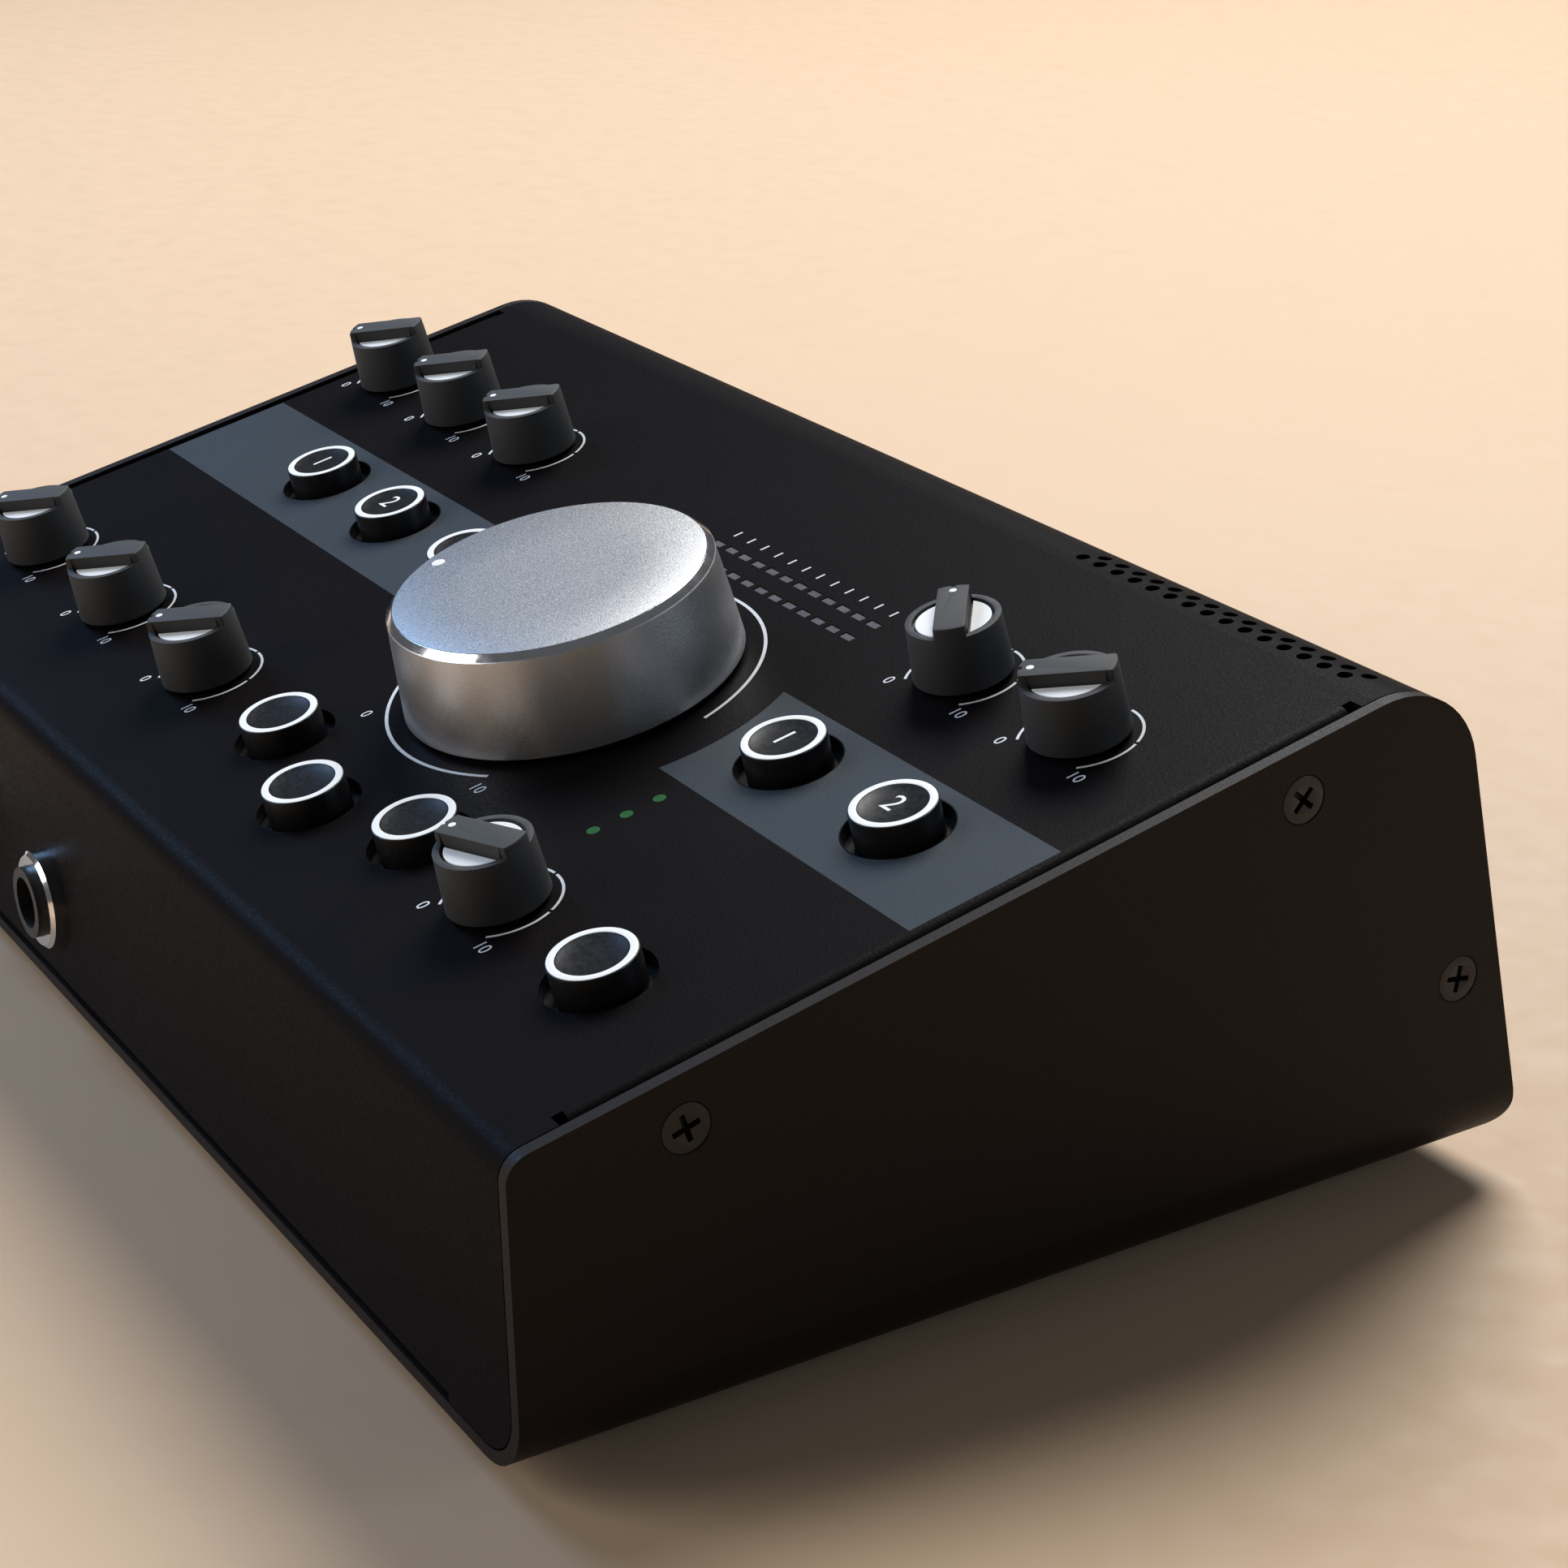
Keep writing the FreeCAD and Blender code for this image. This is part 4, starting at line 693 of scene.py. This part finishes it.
class CONTROLLER_OT_scales(bpy.types.Operator):
    """Print the scale lines, their plain numbers and the ticks over the lamps"""
    bl_idname = "controller.scales"
    bl_label = "Scales"

    def scale(self, name, centre, radius, width, start, sweep, parts, reach):
        size = settings().prints
        gap = math.radians(4) if parts > 1 else 0
        pieces = []
        for i in range(parts):
            first = start - sweep * i / parts - (gap if i else 0)
            last = start - sweep * (i + 1) / parts
            steps = max(6, int(abs(last - first) * 18))
            pieces.append(arc_line("arc", radius, width, size.film, last, first, steps))
        for turn, words in ((start, "0"), (start - sweep, "10")):
            label = number_mesh("label", words, size.scale_number, size.film)
            label.data.transform(Matrix.Translation((reach * math.cos(turn), reach * math.sin(turn), 0)))
            pieces.append(label)
        line = joined(*pieces)
        line.name = name
        paint(line, finish_named("white_print"))
        line.data.transform(frame_at(centre))
        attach(line, "housing")

    def execute(self, context):
        size, knobs, case = settings().prints, settings().knobs, settings().case
        self.scale("volume_scale", VOLUME_AT, size.volume_scale, size.volume_line,
                   size.volume_line_start, size.volume_line_sweep, 1,
                   size.volume_scale + size.volume_number_gap)
        for name in SMALL_KNOBS:
            self.scale(name + "_scale", Vector(JOINTS[name + "_turn"]["pos_m"]), size.small_scale, size.line,
                       knobs.sweep_start, knobs.sweep, 4, size.small_scale + size.small_number_gap)
        lamps = CAD_MESHES["meter_lamps"].vertices
        top = max(NORMAL.dot(vertex.co) for vertex in lamps)
        faces = [vertex.co for vertex in lamps if NORMAL.dot(vertex.co) > top - 1e-5]
        spots = sorted({round(centre.x, 5) for centre in clusters(faces, case.lamp_reach)})
        above = max(UPHILL.dot(point) for point in faces) - UPHILL.dot(VOLUME_AT) + size.tick_gap
        ticks = []
        for spot in spots:
            tick = block("tick", (0, 0, size.film / 2), (case.tick_width, case.tick_height, size.film))
            tick.data.transform(frame_at(on_deck(spot, above)))
            ticks.append(tick)
        ticks = joined(*ticks)
        ticks.name = "lamp_ticks"
        paint(ticks, finish_named("white_print"))
        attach(ticks, "housing")
        return {"FINISHED"}


class CONTROLLER_OT_screws(bpy.types.Operator):
    """Model one countersunk screw with a cross recess and copy it to both end panels"""
    bl_idname = "controller.screws"
    bl_label = "Side Screws"

    def execute(self, context):
        size = settings().case
        screw = turned("screw_pattern", [
            (size.shank * 0.8, -size.shank_length), (size.shank, -size.shank_length + 0.4 * MM),
            (size.shank, size.shank - size.head), (size.head, -0.06 * MM),
            (size.head - 0.08 * MM, 0)], steps=56)
        for wide, deep in ((size.cross_reach, size.cross_width), (size.cross_width, size.cross_reach)):
            cut(screw, block("cross", (0, 0, 0), (wide, deep, size.cross_depth * 2)))
        soften(screw, 0.06 * MM)
        smooth(screw)
        paint(screw, finish_named("black_screw"))
        points = [vertex.co for vertex in CAD_MESHES["side_screws"].vertices]
        face = max(abs(point.x) for point in points)
        outer = [point for point in points if abs(point.x) > face - 1e-5]
        pieces = []
        for i, centre in enumerate(clusters(outer, size.head * 2.2)):
            side = 1 if centre.x > 0 else -1
            turn = Matrix.Rotation(math.pi / 2 * side, 4, "Y")
            turn = turn @ Matrix.Rotation(size.first_turn + size.next_turn * i, 4, "Z")
            pieces.append(copy_to(screw, "side_screw", Matrix.Translation(centre) @ turn))
        screws = joined(*pieces)
        screws.name = "cross_screws"
        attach(screws, "housing")
        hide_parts("side_screws")
        drop(screw)
        return {"FINISHED"}


# Each lamp's name, place, aim, size, power and tint
LAMPS = (
    ("overhead_lamp", (-0.55, 0.75, 1.15), (0, 0, 0.03), 0.9, 27, (1, 1, 1)),
    ("front_lamp", (-0.5, -1.2, 0.6), (0, 0, 0.03), 0.8, 9, (1, 1, 1)),
    ("cool_lamp", (-0.95, -0.32, 0.7), (0, -0.05, 0.03), 0.5, 6, (0.35, 0.6, 1.0)),
    ("edge_lamp", (0.9, 0.9, 0.5), (0, 0, 0.03), 0.5, 2.5, (0.75, 0.85, 1.0)),
)


class CONTROLLER_OT_stage(bpy.types.Operator):
    """Lay the floor and set the lamps and the camera"""
    bl_idname = "controller.stage"
    bl_label = "Stage"

    def lamp(self, name, place, aim, size, power, tint):
        deselect()
        bpy.ops.object.light_add(type="AREA", location=place)
        lamp = bpy.context.object
        lamp.name = name
        lamp.data.shape = "DISK"
        lamp.data.size = size
        lamp.data.energy = power
        lamp.data.color = tint
        lamp.rotation_euler = (Vector(aim) - Vector(place)).to_track_quat("-Z", "Y").to_euler()

    def execute(self, context):
        deselect()
        bpy.ops.mesh.primitive_plane_add(size=8, location=(0, 1.5, 0))
        floor = named("floor")
        floor.data.materials.append(finish("floor_paint", tuple(settings().colours.floor),
                                           shade(settings().colours.floor, 0.97), 160, (0.55, 0.7), 0.05))
        for row in LAMPS:
            self.lamp(*row)
        world = bpy.data.worlds.new("studio")
        bpy.context.scene.world = world
        world.use_nodes = True
        sky = world.node_tree.nodes["Background"]
        sky.inputs["Color"].default_value = (0.80, 0.83, 0.88, 1)
        sky.inputs["Strength"].default_value = 0.10
        view = settings().view
        bpy.ops.object.camera_add(location=view.place, rotation=view.turn)
        camera = bpy.context.object
        camera.name = "photo_camera"
        camera.data.sensor_fit = "HORIZONTAL"
        camera.data.sensor_width = 36
        camera.data.lens = view.lens
        camera.data.clip_start = 0.01
        bpy.context.scene.camera = camera
        bpy.context.scene.view_settings.view_transform = "Standard"
        return {"FINISHED"}


class Controller(bpy.types.PropertyGroup):
    """Everything that a user may change."""
    knobs: PointerProperty(type=KnobSizes, name="Knobs", description="Knob sizes")
    buttons: PointerProperty(type=ButtonSizes, name="Buttons", description="Button sizes")
    prints: PointerProperty(type=PrintSizes, name="Print", description="Print sizes")
    case: PointerProperty(type=CaseSizes, name="Case", description="Screw and tick sizes")
    colours: PointerProperty(type=Colours, name="Colours", description="Base colours")
    view: PointerProperty(type=CameraView, name="View", description="Camera")


OPERATORS = (CONTROLLER_OT_finishes, CONTROLLER_OT_volume_cap, CONTROLLER_OT_small_knobs,
             CONTROLLER_OT_buttons, CONTROLLER_OT_bands, CONTROLLER_OT_scales, CONTROLLER_OT_screws,
             CONTROLLER_OT_stage)


class CONTROLLER_PT_sidebar(bpy.types.Panel):
    """Sizes, colours and steps of the monitor controller"""
    bl_idname = "CONTROLLER_PT_sidebar"
    bl_label = "Monitor Controller"
    bl_space_type = "VIEW_3D"
    bl_region_type = "UI"
    bl_category = "Controller"

    def draw(self, context):
        for step in OPERATORS:
            self.layout.operator(step.bl_idname)
        for group in ("knobs", "buttons", "prints", "case", "colours", "view"):
            values = getattr(context.scene.controller, group)
            column = self.layout.box().column()
            for name in values.__annotations__:
                column.prop(values, name)


CLASSES = (KnobSizes, ButtonSizes, PrintSizes, CaseSizes, Colours, CameraView, Controller, *OPERATORS,
           CONTROLLER_PT_sidebar)


def register():
    for item in CLASSES:
        bpy.utils.register_class(item)
    bpy.types.Scene.controller = PointerProperty(type=Controller)


def unregister():
    del bpy.types.Scene.controller
    for item in reversed(CLASSES):
        bpy.utils.unregister_class(item)


def main():
    register()
    bpy.ops.controller.finishes()
    bpy.ops.controller.volume_cap()
    bpy.ops.controller.small_knobs()
    bpy.ops.controller.buttons()
    bpy.ops.controller.bands()
    bpy.ops.controller.scales()
    bpy.ops.controller.screws()
    bpy.ops.controller.stage()
    deselect()


if __name__ == "__main__":
    main()
